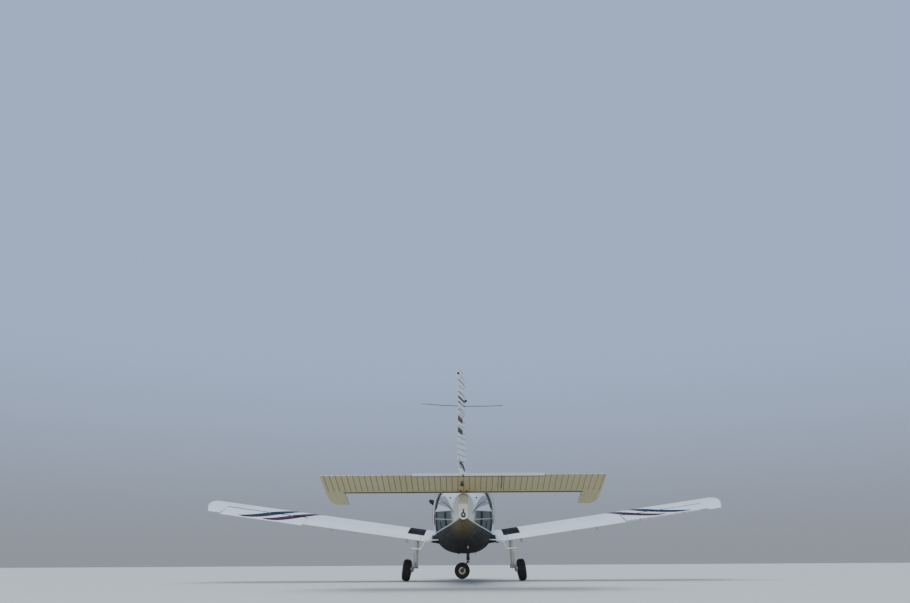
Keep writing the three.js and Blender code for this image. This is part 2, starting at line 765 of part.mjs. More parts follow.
// The room that the elevator turns in, over the rear end of the body.
function elevatorSweep() {
  const x = 1900;
  const reach = ELEVATOR.noseR + CLEAR;
  const round = rod(new THREE.Vector3(-x, 0, 0), new THREE.Vector3(x, 0, 0), reach, reach, 20);
  const above = box(-x, x, -700, 0, -reach, 400);
  return join(round, above, above.rotate([ELEVATOR.down, 0, 0]));
}

// Fin sections along the rudder's hinge line. Columns: height, front, half thickness
const FIN = [
  [-170, 1500, 10],
  [-60, 1290, 36],
  [40, 1130, 44],
  [500, 766, 38],
  [FIN_TOP, 308, 30],
];
// Rudder sections. Columns: height, rear, half thickness
const RUDDER = [
  [10, -478, 38],
  [500, -430, 36],
  [FIN_TOP + CLEAR, -378, 30],
  [1330, -350, 26],
  [1426, -320, 15],
];

function upright(z, points) {
  const right = points.map(([y, half]) => new THREE.Vector3(half, y, z));
  const left = points.map(([y, half]) => new THREE.Vector3(-half, y, z)).reverse();
  return [...right, ...left];
}

function finAndRudder(rear, tailplaneRoom) {
  const frame = new THREE.Group();
  frame.position.copy(at(0, RUDDER_HINGE.s, RUDDER_HINGE.z));
  frame.rotation.x = PITCH * RAD;
  aircraft.add(frame);
  const toFrame = (made) =>
    made.translate(frame.position.toArray().map((v) => -v)).rotate([-PITCH, 0, 0]);

  const finRing = ([z, front, half]) =>
    upright(z, [
      [46, half * 0.8],
      [front * 0.5, half],
      [front * 0.86, half * 0.7],
      [front - 8, half * 0.22],
      [front, 1],
    ]);
  const fin = loft(FIN.map(finRing));
  const deck = body(widened(REAR_SECTIONS, 0, GAP), 3950, 7052);
  const clear = box(-200, 200, -400, 600, -400, 10).intersect(toFrame(tailplaneRoom));
  const foot = toFrame(join(deck, tailplaneRoom));
  add(frame, "fin", fin.subtract(foot).subtract(clear), WHITE);

  const hinged = new THREE.Group();
  hinged.rotation.z = -RUDDER_REST * RAD;
  frame.add(hinged);
  const rudderRing = ([z, rear, half]) =>
    upright(z, [
      [half * 0.9, half * 0.42],
      [half * 0.4, half * 0.9],
      [0, half],
      [-120, half * 0.92],
      [rear, 2.5],
    ]);
  const hornRing = ([z, , half]) =>
    upright(z, [
      [262 - (z - FIN_TOP) * 0.12, 1.5],
      [235 - (z - FIN_TOP) * 0.12, half * 0.5],
      [120, half * 0.95],
      [-60, half * 0.9],
    ]);
  const main = loft(RUDDER.map(rudderRing));
  const horn = loft(RUDDER.slice(2).map(hornRing));
  const slope = plate([[-700, -60], [-700, 157], [60, 28], [60, -60]], -100, 100).rotate([90, 0, 90]);
  add(hinged, "rudder", join(main, horn).subtract(slope), WHITE);

  const rods = [[-575, 1028], [575, 993]].map(([x, z]) =>
    rod(new THREE.Vector3(0, 330, 1010), new THREE.Vector3(x, 190, z), 5, 4, 8));
  const base = box(-36, 36, 300, 400, 1000, 1024);
  add(frame, "antenna", join(base, ...rods).subtract(fin.scale([1.02, 1.002, 1])), BLACK);
}

// Main gear: a leg from the wing, a trailing arm with the axle, a damper behind the leg
function mainGear(side) {
  const name = side < 0 ? "left" : "right";
  const p = (x, s, z) => at(x * side, s, z);
  const underWing = wingLowerCut(side);
  const knee = p(905, 2330, 250);
  const leg = join(
    rod(p(885, 2330, 760), knee, 38, 30, 16),
    rod(p(866, 2330, 250), p(944, 2330, 250), 34, 34, 16),
    rod(p(885, 2590, 740), p(905, 2560, 505), 24, 24, 12),
    rod(p(889, 2330, 640), p(887, 2590, 700), 14, 14, 10),
    rod(p(905, 2560, 505), p(905, 2560, 330), 15, 15, 12),
  );
  add(aircraft, "main_leg_" + name, leg.subtract(underWing), WHITE);

  const hub = p(MAIN.x, MAIN.s, MAIN.z);
  const armBar = join(
    rod(p(958, 2372, 246), p(958, 2612, 184), 22, 26, 12),
    rod(p(945.5, 2330, 250), p(975, 2330, 250), 30, 30, 16),
    rod(p(958, 2338, 250), p(958, 2390, 244), 24, 24, 12),
    rod(p(905, 2560, 290), p(905, 2560, 329), 22, 22, 12),
    rod(p(905, 2560, 312), p(958, 2560, 196), 16, 16, 10),
    axle(side, hub, -118, 60, 24),
  );
  add(aircraft, "main_arm_" + name, armBar.subtract(leg), ALLOY);
  wheel("main_" + name, hub, -MAIN.camber * side, MAIN);
}

// A wheel's axle, which leans with its camber.
function axle(side, hub, from, to, r) {
  const lean = MAIN.camber * RAD;
  const along = new THREE.Vector3(side * Math.cos(lean), 0, Math.sin(lean));
  return rod(hub.clone().addScaledVector(along, from), hub.clone().addScaledVector(along, to), r, r, 16);
}

// The wing's lower skin as a cutter for what hangs from it.
function wingLowerCut(side) {
  const made = foil(0, 1200).scale([1, 1, 1.006]);
  const m = wingFrame();
  const placed = made.transform([...m.elements]);
  return side < 0 ? placed.mirror([1, 0, 0]) : placed;
}

// A tyre and a rim on an axle through the hub; both turn about it.
function wheel(name, hub, lean, { tyreR, tyreHalf, rimR }, heading = 0) {
  const group = new THREE.Group();
  group.position.copy(hub);
  group.rotation.set(0, lean * RAD, heading * RAD, "ZYX");
  aircraft.add(group);
  const half = tyreHalf;
  const tyre = [
    [rimR + 2, -half * 0.75],
    [tyreR - 42, -half],
    [tyreR - 12, -half * 0.8],
    [tyreR, -half * 0.32],
    [tyreR, half * 0.32],
    [tyreR - 12, half * 0.8],
    [tyreR - 42, half],
    [rimR + 2, half * 0.75],
    [rimR + 2, -half * 0.75],
  ];
  const rim = [
    [30, -half * 0.56],
    [56, -half * 0.56],
    [rimR - 14, -half * 0.3],
    [rimR - 6, -half * 0.74],
    [rimR + 1.4, -half * 0.74],
    [rimR + 1.4, half * 0.74],
    [rimR - 6, half * 0.74],
    [rimR - 14, half * 0.3],
    [56, half * 0.56],
    [30, half * 0.56],
    [30, -half * 0.56],
  ];
  add(group, name + "_tyre", turned(tyre, 32).rotate([0, 0, 90]), RUBBER);
  add(group, name + "_rim", turned(rim, 20).rotate([0, 0, 90]), ALLOY);
}

// Nose gear: a leg under the engine, a fork that swivels on it and trails, and its wheel
function noseGear() {
  const leg = join(
    rod(at(NOSE.x, NOSE.s, 640), at(NOSE.x, NOSE.s, 420), 34, 34, 18),
    rod(at(NOSE.x, NOSE.s, 425), at(NOSE.x, NOSE.s, 360), 26, 26, 18),
    rod(at(NOSE.x, NOSE.s - 10, 600), at(NOSE.x, NOSE.s + 330, 640), 16, 16, 10),
  );
  const cowlRoom = body(widened(COWL_SECTIONS, GAP, 0), 262, 1326);
  add(aircraft, "nose_leg", leg.subtract(cowlRoom), WHITE);

  const hubX = NOSE.x - NOSE.trail;
  const hubZ = NOSE.tyreR;
  const top = NOSE.tyreR * 2 + 14;
  const sides = [-1, 1].map((end) => {
    const s = NOSE.s + end * 78;
    return join(
      rod(at(NOSE.x - 10, s, top), at(hubX, s, hubZ), 13, 13, 10),
      rod(at(NOSE.x - 10, NOSE.s, top), at(NOSE.x - 10, s, top), 16, 16, 10),
    );
  });
  const swivel = rod(at(NOSE.x, NOSE.s, 352), at(NOSE.x, NOSE.s, top - 22), 30, 30, 18);
  const pin = rod(at(hubX, NOSE.s - 90, hubZ), at(hubX, NOSE.s + 90, hubZ), 17, 17, 14);
  add(aircraft, "nose_fork", join(swivel, ...sides, pin), WHITE);
  wheel("nose", at(hubX, NOSE.s, hubZ), 0, NOSE, 90);
}

// Boarding steps behind the wings' roots
function steps() {
  [-1, 1].forEach((side) => {
    const p = (x, z) => at(x * side, 3300, z);
    const bar = bentRod([p(430, 700), p(680, 684), p(764, 542), p(935, 556)], 11, 10);
    const hull = body(widened(CABIN_SECTIONS, 0, 0), 2600, 3345);
    add(aircraft, "step_" + (side < 0 ? "left" : "right"), bar.subtract(hull), STEEL);
  });
}

powerUnit();
cabin();
[-1, 1].forEach(wing);
tail();
[-1, 1].forEach(mainGear);
noseGear();
steps();

export default aircraft;
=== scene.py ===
"""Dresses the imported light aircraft: skins, paint, glazing, seats, tyres and fittings round its fixed frame.

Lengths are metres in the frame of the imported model: +Y forward, +X to the right wing tip, +Z up.
A station is a distance aft of the spinner's tip, along the body.
"""

from math import atan2, cos, pi, radians, sin, sqrt, tan

import bpy
import numpy as np
from mathutils import Matrix, Vector


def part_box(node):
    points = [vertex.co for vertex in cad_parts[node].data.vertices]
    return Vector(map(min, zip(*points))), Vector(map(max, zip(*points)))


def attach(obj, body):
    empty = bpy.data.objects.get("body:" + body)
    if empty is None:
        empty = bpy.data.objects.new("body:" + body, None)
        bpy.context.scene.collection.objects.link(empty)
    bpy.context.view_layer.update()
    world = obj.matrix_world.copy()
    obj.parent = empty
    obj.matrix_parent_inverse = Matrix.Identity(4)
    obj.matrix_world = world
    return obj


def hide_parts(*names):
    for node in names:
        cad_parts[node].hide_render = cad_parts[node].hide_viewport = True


bl_info = {
    "name": "Light aircraft dressing",
    "version": (1, 0, 0),
    "blender": (4, 5, 0),
    "location": "View3D > Sidebar > Aircraft",
    "description": "Builds the visible skins, finishes and fittings of a four-seat light aircraft",
    "category": "Object",
}

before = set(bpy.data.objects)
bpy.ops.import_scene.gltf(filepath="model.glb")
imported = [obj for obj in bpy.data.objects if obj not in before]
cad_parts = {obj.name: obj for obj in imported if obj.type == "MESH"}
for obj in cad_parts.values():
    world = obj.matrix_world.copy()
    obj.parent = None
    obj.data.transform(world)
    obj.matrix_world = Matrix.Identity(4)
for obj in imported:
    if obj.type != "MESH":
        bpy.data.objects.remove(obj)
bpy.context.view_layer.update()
NOSE_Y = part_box("spinner")[1].y
THRUST_Z = sum(corner.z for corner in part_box("spinner")) / 2
SIDES = (("left", -1), ("right", 1))


def length_prop(name, description, default):
    return bpy.props.FloatProperty(name=name, description=description, default=default, unit="LENGTH")


def angle_prop(name, description, degrees):
    return bpy.props.FloatProperty(name=name, description=description, default=radians(degrees), subtype="ANGLE")


def colour_prop(name, description, default):
    return bpy.props.FloatVectorProperty(name=name, description=description, default=default, subtype="COLOR")


# Every finish by its name
FINISH = {}


# Surfaces
class Shape:
    """Closed surfaces gathered into one mesh; each is turned so that its faces point outwards."""

    def __init__(self):
        self.points, self.faces, self.uvs, self.count = [], [], [], 0

    def add(self, points, faces, uv=None):
        points = np.asarray(points, float).reshape(-1, 3)
        volume = 0.0
        for block in faces:
            corners = points[block]
            for i in range(1, block.shape[1] - 1):
                cross = np.cross(corners[:, i], corners[:, i + 1])
                volume += np.einsum("ij,ij->", corners[:, 0], cross)
        for block in faces:
            turned = block if volume > 0 else block[:, ::-1]
            self.faces.append(turned + self.count)
        self.points.append(points)
        self.uvs.append(np.zeros((len(points), 2)) if uv is None else np.asarray(uv, float).reshape(-1, 2))
        self.count += len(points)
        return self

    def plate(self, outline, axis, levels, place=np.asarray):
        """A closed outline at several levels along one axis; its two columns are the other axes in order."""
        rings = np.array(
            [np.insert(np.asarray(outline, float), "xyz".index(axis), level, axis=1) for level in levels]
        )
        return self.add(place(rings), tube(rings))

    def mesh(self, name, sharp=38):
        made = bpy.data.meshes.new(name)
        faces = [face for block in self.faces for face in block.tolist()]
        points = np.concatenate(self.points)
        made.from_pydata(points.tolist(), [], faces)
        corner = np.zeros(len(made.loops), np.int32)
        made.loops.foreach_get("vertex_index", corner)
        layer = made.uv_layers.new(name="Surface")
        layer.data.foreach_set("uv", np.concatenate(self.uvs)[corner].astype(np.float32).ravel())
        made.shade_smooth()
        made.set_sharp_from_angle(angle=radians(sharp))
        made.update()
        return made


def piece(name, shape, finish, body="airframe", replaces=(), sharp=38):
    """One finished object at the origin that rides on a body."""
    obj = bpy.data.objects.new(name, shape.mesh(name, sharp))
    obj.data.materials.append(FINISH[finish])
    bpy.context.scene.collection.objects.link(obj)
    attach(obj, body)
    if replaces:
        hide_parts(*replaces)
    return obj


def grid(*columns):
    """Points from their coordinates, each spread over the rows and columns of the others."""
    return np.stack(np.broadcast_arrays(*columns), -1)


def circle(count):
    """Angles evenly round a circle."""
    return np.linspace(0, 2 * pi, count, endpoint=False)


def powered(value, power):
    """The size raised to a power, with the sign kept."""
    return np.sign(value) * np.abs(value) ** power


def quads(rows, columns, wrap_rows=False, wrap_columns=False):
    """Corner numbers of the cells of a grid, numbered row by row."""
    r = np.arange(rows if wrap_rows else rows - 1)
    c = np.arange(columns if wrap_columns else columns - 1)
    r, c = (a.ravel() for a in np.meshgrid(r, c, indexing="ij"))
    r2, c2 = (r + 1) % rows, (c + 1) % columns
    return np.stack([r * columns + c, r2 * columns + c, r2 * columns + c2, r * columns + c2], 1)


def tube(rings, closed=False):
    """Faces of a surface through closed rings, its two ends filled unless the rings themselves close."""
    count, around = rings.shape[:2]
    faces = [quads(count, around, closed, True)]
    if not closed:
        last = (count - 1) * around
        faces += [np.arange(around)[None], (last + np.arange(around))[None, ::-1]]
    return faces


def slab(shape, outer, inner, uv=None):
    """A wall between two open grids of one size."""
    rows, columns = outer.shape[:2]
    n = rows * columns
    skin = quads(rows, columns)
    r, c = np.arange(rows - 1), np.arange(columns - 1)
    rims = []
    for column in (0, columns - 1):
        a = r * columns + column
        b = a + columns
        rim = np.stack([a, a + n, b + n, b], 1)
        rims.append(rim if column == 0 else rim[:, ::-1])
    for row in (0, rows - 1):
        a = row * columns + c
        rim = np.stack([a, a + 1, a + 1 + n, a + n], 1)
        rims.append(rim if row == 0 else rim[:, ::-1])
    points = np.concatenate([outer.reshape(-1, 3), inner.reshape(-1, 3)])
    both = None if uv is None else np.concatenate([uv.reshape(-1, 2)] * 2)
    return shape.add(points, [skin, skin[:, ::-1] + n, *rims], both)


def lathe(shape, profile, origin, axis, count=48):
    """Turns (radius, distance) points about an axis; the profile closes unless both its ends are on the axis."""
    profile = np.asarray(profile, float)
    axis = np.asarray(Vector(axis).normalized())
    side = np.asarray(Vector(axis).orthogonal().normalized())
    other = np.cross(axis, side)
    turn = circle(count)
    ring = np.cos(turn)[:, None] * side + np.sin(turn)[:, None] * other
    on_axis = profile[0, 0] == 0 and profile[-1, 0] == 0
    walk = profile[1:-1] if on_axis else profile
    rings = np.asarray(origin) + walk[:, 1, None, None] * axis + walk[:, 0, None, None] * ring
    if not on_axis:
        return shape.add(rings, tube(rings, closed=True))
    rows = len(walk)
    poles = np.asarray(origin) + profile[[0, -1], 1, None] * axis
    points = np.concatenate([rings.reshape(-1, 3), poles])
    here = np.arange(count)
    after = (here + 1) % count
    last = (rows - 1) * count
    first_fan = np.stack([here, after, np.full(count, rows * count)], 1)
    last_fan = np.stack([last + after, last + here, np.full(count, rows * count + 1)], 1)
    return shape.add(points, [quads(rows, count, False, True), first_fan, last_fan])


def rounded(points, radius=0.3, steps=5):
    """A path with each inner corner drawn as a quadratic curve over a share of its two legs."""
    points = np.asarray(points, float)
    out = [points[:1]]
    t = np.linspace(0, 1, steps)[:, None]
    for before, corner, after in zip(points[:-2], points[1:-1], points[2:]):
        a, b = corner + (before - corner) * radius, corner + (after - corner) * radius
        out.append((1 - t) ** 2 * a + 2 * t * (1 - t) * corner + t**2 * b)
    return np.concatenate([*out, points[-1:]])


def bar_rings(path, radius, sides=12, flat=1.0, up=(0, 0, 1)):
    """The rings of a round or flattened bar along a path; the radius may change from point to point."""
    path = np.asarray(path, float)
    radius = np.broadcast_to(np.asarray(radius, float), (len(path),))[:, None, None]
    along = np.gradient(path, axis=0)
    along /= np.linalg.norm(along, axis=1)[:, None]
    side = np.cross(along, np.asarray(up, float))
    weak = np.linalg.norm(side, axis=1) < 1e-3
    side[weak] = np.cross(along[weak], (1.0, 0.0, 0.0))
    side /= np.linalg.norm(side, axis=1)[:, None]
    other = np.cross(side, along)
    turn = circle(sides)
    ring = np.cos(turn)[None, :, None] * side[:, None] * flat + np.sin(turn)[None, :, None] * other[:, None]
    return path[:, None] + ring * radius


def sweep(shape, path, radius, sides=12, flat=1.0, up=(0, 0, 1)):
    """A closed bar along a path."""
    points = bar_rings(path, radius, sides, flat, up)
    return shape.add(points, tube(points))


def smooth(t):
    t = np.clip(t, 0, 1)
    return t * t * (3 - 2 * t)


# Body sections in millimetres. Columns: station, lowest z, highest z, half width, z of the greatest width,
# roundness below it, roundness above it (2 is an ellipse, more is squarer)
COWL = 0.001 * np.array([
    (262, 900, 1440, 330, 1175, 2500, 2500),
    (330, 800, 1480, 400, 1150, 2600, 2600),
    (480, 690, 1512, 452, 1120, 2700, 2700),
    (860, 592, 1548, 510, 1090, 2600, 2800),
    (1326, 528, 1580, 548, 1080, 2600, 2800),
])
CABIN = 0.001 * np.array([
    (1330, 528, 1580, 548, 1080, 2600, 2800),
    (1500, 516, 1602, 556, 1080, 2600, 2700),
    (1700, 503, 1725, 563, 1080, 2600, 2500),
    (1952, 490, 1838, 568, 1080, 2600, 2450),
    (2600, 477, 1868, 568, 1075, 2600, 2400),
    (3000, 470, 1830, 552, 1070, 2600, 2350),
    (3345, 474, 1740, 517, 1062, 2550, 2300),
])
HOOD = 0.001 * np.array([
    (1958, 470, 1838, 570, 1080, 2600, 2450),
    (2300, 470, 1870, 576, 1080, 2600, 2400),
    (2750, 470, 1866, 576, 1075, 2600, 2350),
    (3100, 470, 1822, 567, 1072, 2600, 2350),
    (3338, 470, 1784, 558, 1070, 2600, 2350),
])
REAR = 0.001 * np.array([
    (3345.4, 474, 1740, 517, 1062, 2550, 2300),
    (3640, 484, 1684, 482, 1054, 2500, 2250),
    (3950, 506, 1624, 442, 1045, 2450, 2200),
    (4400, 542, 1550, 386, 1032, 2400, 2100),
    (4900, 590, 1462, 318, 1015, 2300, 2100),
    (5500, 656, 1352, 240, 990, 2200, 2100),
    (6100, 726, 1240, 166, 962, 2100, 2200),
    (6600, 784, 1172, 108, 945, 2100, 2400),
    (7052, 828, 1150, 62, 935, 2200, 2800),
])
SCREEN_FOOT = (1.480, 1.640)
DATUM = radians(3.6)
FLOOR_Z = 0.630
HALF_TURN = pi / 2


def y_of(s):
    return NOSE_Y - s


def sill(s):
    """Height of the lower edge of the sliding hood."""
    return 0.985 - (s - 2.650) * tan(DATUM)


def foot(s):
    """Height of the windscreen's foot, a straight slant from the top of the body to the sill."""
    (s0, z0), s1 = SCREEN_FOOT, 1.955
    return z0 + (s - s0) * (sill(s1) - z0) / (s1 - s0)


def section(table, s):
    """Each column of a table at the stations s, on cubics whose slope at a row is that between its neighbours."""
    s = np.asarray(s, float)
    slopes = np.gradient(table, table[:, 0], axis=0)
    row = np.clip(np.searchsorted(table[:, 0], s.ravel(), side="right") - 1, 0, len(table) - 2)
    a, b = table[row], table[row + 1]
    step = b[:, :1] - a[:, :1]
    t = (s.ravel()[:, None] - a[:, :1]) / step
    ease = a + (b - a) * t * t * (3 - 2 * t)
    lean = slopes[row] * t * (1 - t) ** 2 - slopes[row + 1] * t * t * (1 - t)
    return np.moveaxis((ease + step * lean).reshape(*s.shape, -1), -1, 0)


def on_body(table, s, angle, inset=0.0):
    """x = half width times cos(angle) to a power, z = rise times sin(angle) to it; the power is the roundness."""
    s, angle, inset = np.broadcast_arrays(np.asarray(s, float), np.asarray(angle, float), np.asarray(inset, float))
    _, low, high, half, mid, round_low, round_high = section(table, s)
    up = np.sin(angle) > 0
    power = 2 / np.where(up, round_high, round_low)
    rise = np.where(up, high - mid, mid - low) - inset
    across, along = powered(np.cos(angle), power), powered(np.sin(angle), power)
    return np.stack([(half - inset) * across, y_of(s), mid + rise * along], -1)


def angle_of(table, s, z):
    """The angle at which a section's right-hand side passes a height."""
    _, low, high, _, mid, round_low, round_high = section(table, s)
    up = np.asarray(z) > mid
    share = np.clip(np.abs(z - mid) / np.where(up, high - mid, mid - low), 0, 1)
    return np.where(up, 1, -1) * np.arcsin(share ** (np.where(up, round_high, round_low) / 2))


def angle_at(table, s, x):
    """The angle at which a section's upper right-hand side has a given distance from the middle."""
    half, round_high = section(table, s)[[3, 6]]
    return np.arccos(np.clip(x / half, 0, 1) ** (round_high / 2))


def body_wall(shape, table, s, start, end, wall, count=64):
    """A wall over stations s and from one angle to another, each given for every station."""
    angle = start[:, None] + (end - start)[:, None] * np.linspace(0, 1, count)
    s = s[:, None]
    return slab(shape, on_body(table, s, angle), on_body(table, s, angle, wall), grid(s, angle))


def round_loop(points, radius, steps=7, sides=6):
    """A closed outline whose corners are curves that start a radius away, its sides cut into equal steps."""
    points = np.asarray(points, float)
    t = np.linspace(0, 1, steps)[:, None]
    out = []
    for i, corner in enumerate(points):
        before, after = points[i - 1], points[(i + 1) % len(points)]
        a = corner + (before - corner) * radius / np.linalg.norm(before - corner)
        b = corner + (after - corner) * radius / np.linalg.norm(after - corner)
        out.append((1 - t) ** 2 * a + 2 * t * (1 - t) * corner + t**2 * b)
        far = after + (corner - after) * radius / np.linalg.norm(corner - after)
        out.append(b + (far - b) * np.linspace(0, 1, sides + 1)[1:-1, None])
    loop = np.concatenate(out)
    return loop[np.linalg.norm(loop - np.roll(loop, 1, 0), axis=1) > 1e-6]


def patch(shape, table, loop, outer, inner, rows=12):
    """A curved plate in the wall of the body, inside a closed loop of (station, angle) points."""
    centre = loop.mean(0)
    share = np.linspace(1, 0, rows, endpoint=False)[:, None, None]
    web = centre + (loop - centre) * share
    flat = np.concatenate([web.reshape(-1, 2), centre[None]])
    n, around = len(flat), len(loop)
    points = np.concatenate([on_body(table, flat[:, 0], flat[:, 1], depth) for depth in (outer, inner)])
    skin = quads(rows, around, False, True)
    last = (rows - 1) * around + np.arange(around)
    fan = np.stack([(rows - 1) * around + (np.arange(around) + 1) % around, last, np.full(around, n - 1)], 1)
    edge = np.arange(around)
    rim = np.stack([edge, (edge + 1) % around, (edge + 1) % around + n, edge + n], 1)
    faces = [skin, fan, skin[:, ::-1] + n, fan[:, ::-1] + n, rim]
    return shape.add(points, faces, np.concatenate([flat, flat]))


def seal(shape, table, loop, radius, inset):
    """A rubber bead along a closed loop of (station, angle) points on the body."""
    path = on_body(table, loop[:, 0], loop[:, 1], inset)
    along = np.roll(path, -1, 0) - np.roll(path, 1, 0)
    along /= np.linalg.norm(along, axis=1)[:, None]
    out = path - on_body(table, loop[:, 0], loop[:, 1], 0.05)
    out -= along * np.einsum("ij,ij->i", out, along)[:, None]
    out /= np.linalg.norm(out, axis=1)[:, None]
    side = np.cross(along, out)
    turn = circle(8)
    ring = np.cos(turn)[None, :, None] * side[:, None] * 1.5 + np.sin(turn)[None, :, None] * out[:, None]
    points = path[:, None] + ring * radius
    return shape.add(points, tube(points, closed=True))


def carved(obj, *shapes):
    """Cuts closed shapes out of an object's mesh."""
    for number, shape in enumerate(shapes):
        tool = bpy.data.objects.new(f"tool_{number}", shape.mesh(f"tool_{number}"))
        bpy.context.scene.collection.objects.link(tool)
        step = obj.modifiers.new("Cut", "BOOLEAN")
        step.object = tool
        step.operation = "DIFFERENCE"
        step.solver = "EXACT"
        obj.data.update()
        graph = bpy.context.evaluated_depsgraph_get()
        graph.update()
        mesh = bpy.data.meshes.new_from_object(obj.evaluated_get(graph), depsgraph=graph)
        obj.modifiers.remove(step)
        old = obj.data
        obj.data = mesh
        mesh.name = obj.name
        bpy.data.meshes.remove(old)
        bpy.data.objects.remove(tool)
    obj.data.shade_smooth()
    obj.data.set_sharp_from_angle(angle=radians(35))
    return obj


def side_loop(table, points, radius, side):
    """A rounded outline given as (station, height) points on one side, as (station, angle) points."""
    loop = round_loop(points, radius)
    angle = angle_of(table, loop[:, 0], loop[:, 1])
    return np.stack([loop[:, 0], angle if side > 0 else pi - angle], 1)


def pipe(shape, path, outer, inner, up, sides=20):
    """An open pipe: rings run along the path outside and come back inside."""
    rings = np.concatenate([bar_rings(path, outer, sides, 1.0, up), bar_rings(path, inner, sides, 1.0, up)[::-1]])
    return shape.add(rings, tube(rings, closed=True))


def screw(shape, place, axis, radius=0.004, height=0.002, sides=10):
    """A low domed head with a shallow dish in its middle."""
    # Columns: share of the radius, share of the height
    profile = [(0, -1), (1, -1), (1, 0.3), (0.7, 1), (0.3, 0.8), (0, 0.6)]
    return lathe(shape, [(a * radius, b * height) for a, b in profile], place, axis, sides)


def refinish(node, finish):
    """Gives a node of the frame a finer finish."""
    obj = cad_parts[node]
    obj.data.materials.clear()
    obj.data.materials.append(FINISH[finish])


def strip_faces(rings):
    """Faces of a tube whose thin ends are closed by strips between the two halves of a ring."""
    rings = np.asarray(rings)
    count, around = rings.shape[:2]
    half = around // 2
    i = np.arange(half - 1)
    low = np.stack([i, i + 1, around - 2 - i, around - 1 - i], 1)
    ends = [low, low[:, ::-1] + (count - 1) * around]
    if around % 2:
        middle = np.array([[half - 1, half, half + 1]])
        ends += [middle, middle[:, ::-1] + (count - 1) * around]
    return [quads(count, around, False, True), *ends]


# Materials
class Graph:
    """Short calls for the nodes of one material or node group."""

    def __init__(self, tree):
        self.tree = tree

    def node(self, kind, *inputs, out=0, **settings):
        made = self.tree.nodes.new(kind)
        for key, value in settings.items():
            setattr(made, key, value)
        for number, value in enumerate(inputs):
            self.plug(made.inputs[number], value)
        return made.outputs[out] if isinstance(out, (int, str)) else made

    def plug(self, socket, value):
        """Links an output to an input or sets its value; a colour of three numbers is opaque."""
        if isinstance(value, bpy.types.NodeSocket):
            self.tree.links.new(value, socket)
        elif value is not None:
            socket.default_value = (*value, 1) if socket.type == "RGBA" and len(value) == 3 else value

    def fill(self, made, **values):
        for name, value in values.items():
            self.plug(made.inputs[name.replace("_", " ")], value)
        return made.outputs

    def math(self, operation, *inputs, clamp=False):
        return self.node("ShaderNodeMath", *inputs, operation=operation, use_clamp=clamp)

    def gathered(self, operation, first, *others, clamp=False):
        for number, other in enumerate(others, 1):
            first = self.math(operation, first, other, clamp=clamp and number == len(others))
        return first

    def times(self, *values, clamp=False):
        return self.gathered("MULTIPLY", *values, clamp=clamp)

    def plus(self, *values, clamp=False):
        return self.gathered("ADD", *values, clamp=clamp)

    def minus(self, a, b):
        return self.math("SUBTRACT", a, b)

    def off(self, a, b):
        """How far one value is from another."""
        return self.math("ABSOLUTE", self.minus(a, b))

    def most(self, *values):
        return self.gathered("MAXIMUM", *values)

    def scaled(self, value, factor, shift, clamp=False):
        """The value times a factor, plus a shift."""
        return self.math("MULTIPLY_ADD", value, factor, shift, clamp=clamp)

    def between(self, value, low, high):
        """0 under low, 1 over high and smooth in between; high may be the lower one."""
        return self.node("ShaderNodeMapRange", value, low, high, interpolation_type="SMOOTHSTEP")

    def mix(self, share, a, b, blend="MIX"):
        made = self.tree.nodes.new("ShaderNodeMix")
        made.data_type = "RGBA"
        made.blend_type = blend
        for name, value in (("Factor_Float", share), ("A_Color", a), ("B_Color", b)):
            self.plug(next(s for s in made.inputs if s.identifier == name), value)
        return next(s for s in made.outputs if s.identifier == "Result_Color")

    def split(self, vector):
        return self.node("ShaderNodeSeparateXYZ", vector, out=None).outputs

    def object_xyz(self):
        return self.split(self.node("ShaderNodeTexCoord", out="Object"))

    def noise(self, scale, detail=3.0, roughness=0.55, vector=None, stretch=None):
        if vector is None:
            vector = self.node("ShaderNodeTexCoord", out="Object")
        if stretch:
            vector = self.node("ShaderNodeVectorMath", vector, stretch, operation="MULTIPLY")
        made = self.tree.nodes.new("ShaderNodeTexNoise")
        return self.fill(made, Vector=vector, Scale=scale, Detail=detail, Roughness=roughness)["Fac"]


def group(name, outputs, **inputs):
    """A node group of plain numbers; gives its graph, its inputs and a function that sets an output."""
    tree = bpy.data.node_groups.new(name, "ShaderNodeTree")
    for label, value in inputs.items():
        label = label.replace("_", " ")
        socket = tree.interface.new_socket(name=label, in_out="INPUT", socket_type="NodeSocketFloat")
        socket.default_value = value
    for label in outputs:
        tree.interface.new_socket(name=label, in_out="OUTPUT", socket_type="NodeSocketFloat")
    graph = Graph(tree)
    source = tree.nodes.new("NodeGroupInput")
    sink = tree.nodes.new("NodeGroupOutput")
    return graph, source.outputs, lambda label, value: graph.plug(sink.inputs[label], value)


def weather_group():
    """Dust in soft patches and grime that thickens below a height, with a fine ripple for the gloss; on the body
    that grime is painted shade under the belly.
    """
    outputs = ("Dust", "Grime", "Roughness", "Height")
    g, given, give = group("Weather", outputs, Dust=0.3, Grime=0.3, Grime_top=0.9, Grime_base=0.5)
    z = g.object_xyz()[2]
    patches = g.noise(2.2, 5, 0.6)
    streaks = g.noise(1.0, 4, 0.6, stretch=(9.0, 0.8, 9.0))
    low = g.between(z, given["Grime top"], given["Grime base"])
    give("Dust", g.times(given["Dust"], g.between(patches, 0.42, 0.72), clamp=True))
    grime = g.times(low, g.scaled(streaks, 0.9, 0.45))
    give("Grime", g.times(grime, given["Grime"], clamp=True))
    fine = g.noise(14.0, 4, 0.6)
    give("Roughness", g.scaled(fine, 0.16, -0.08))
    give("Height", g.noise(90.0, 2, 0.5))
    return g.tree


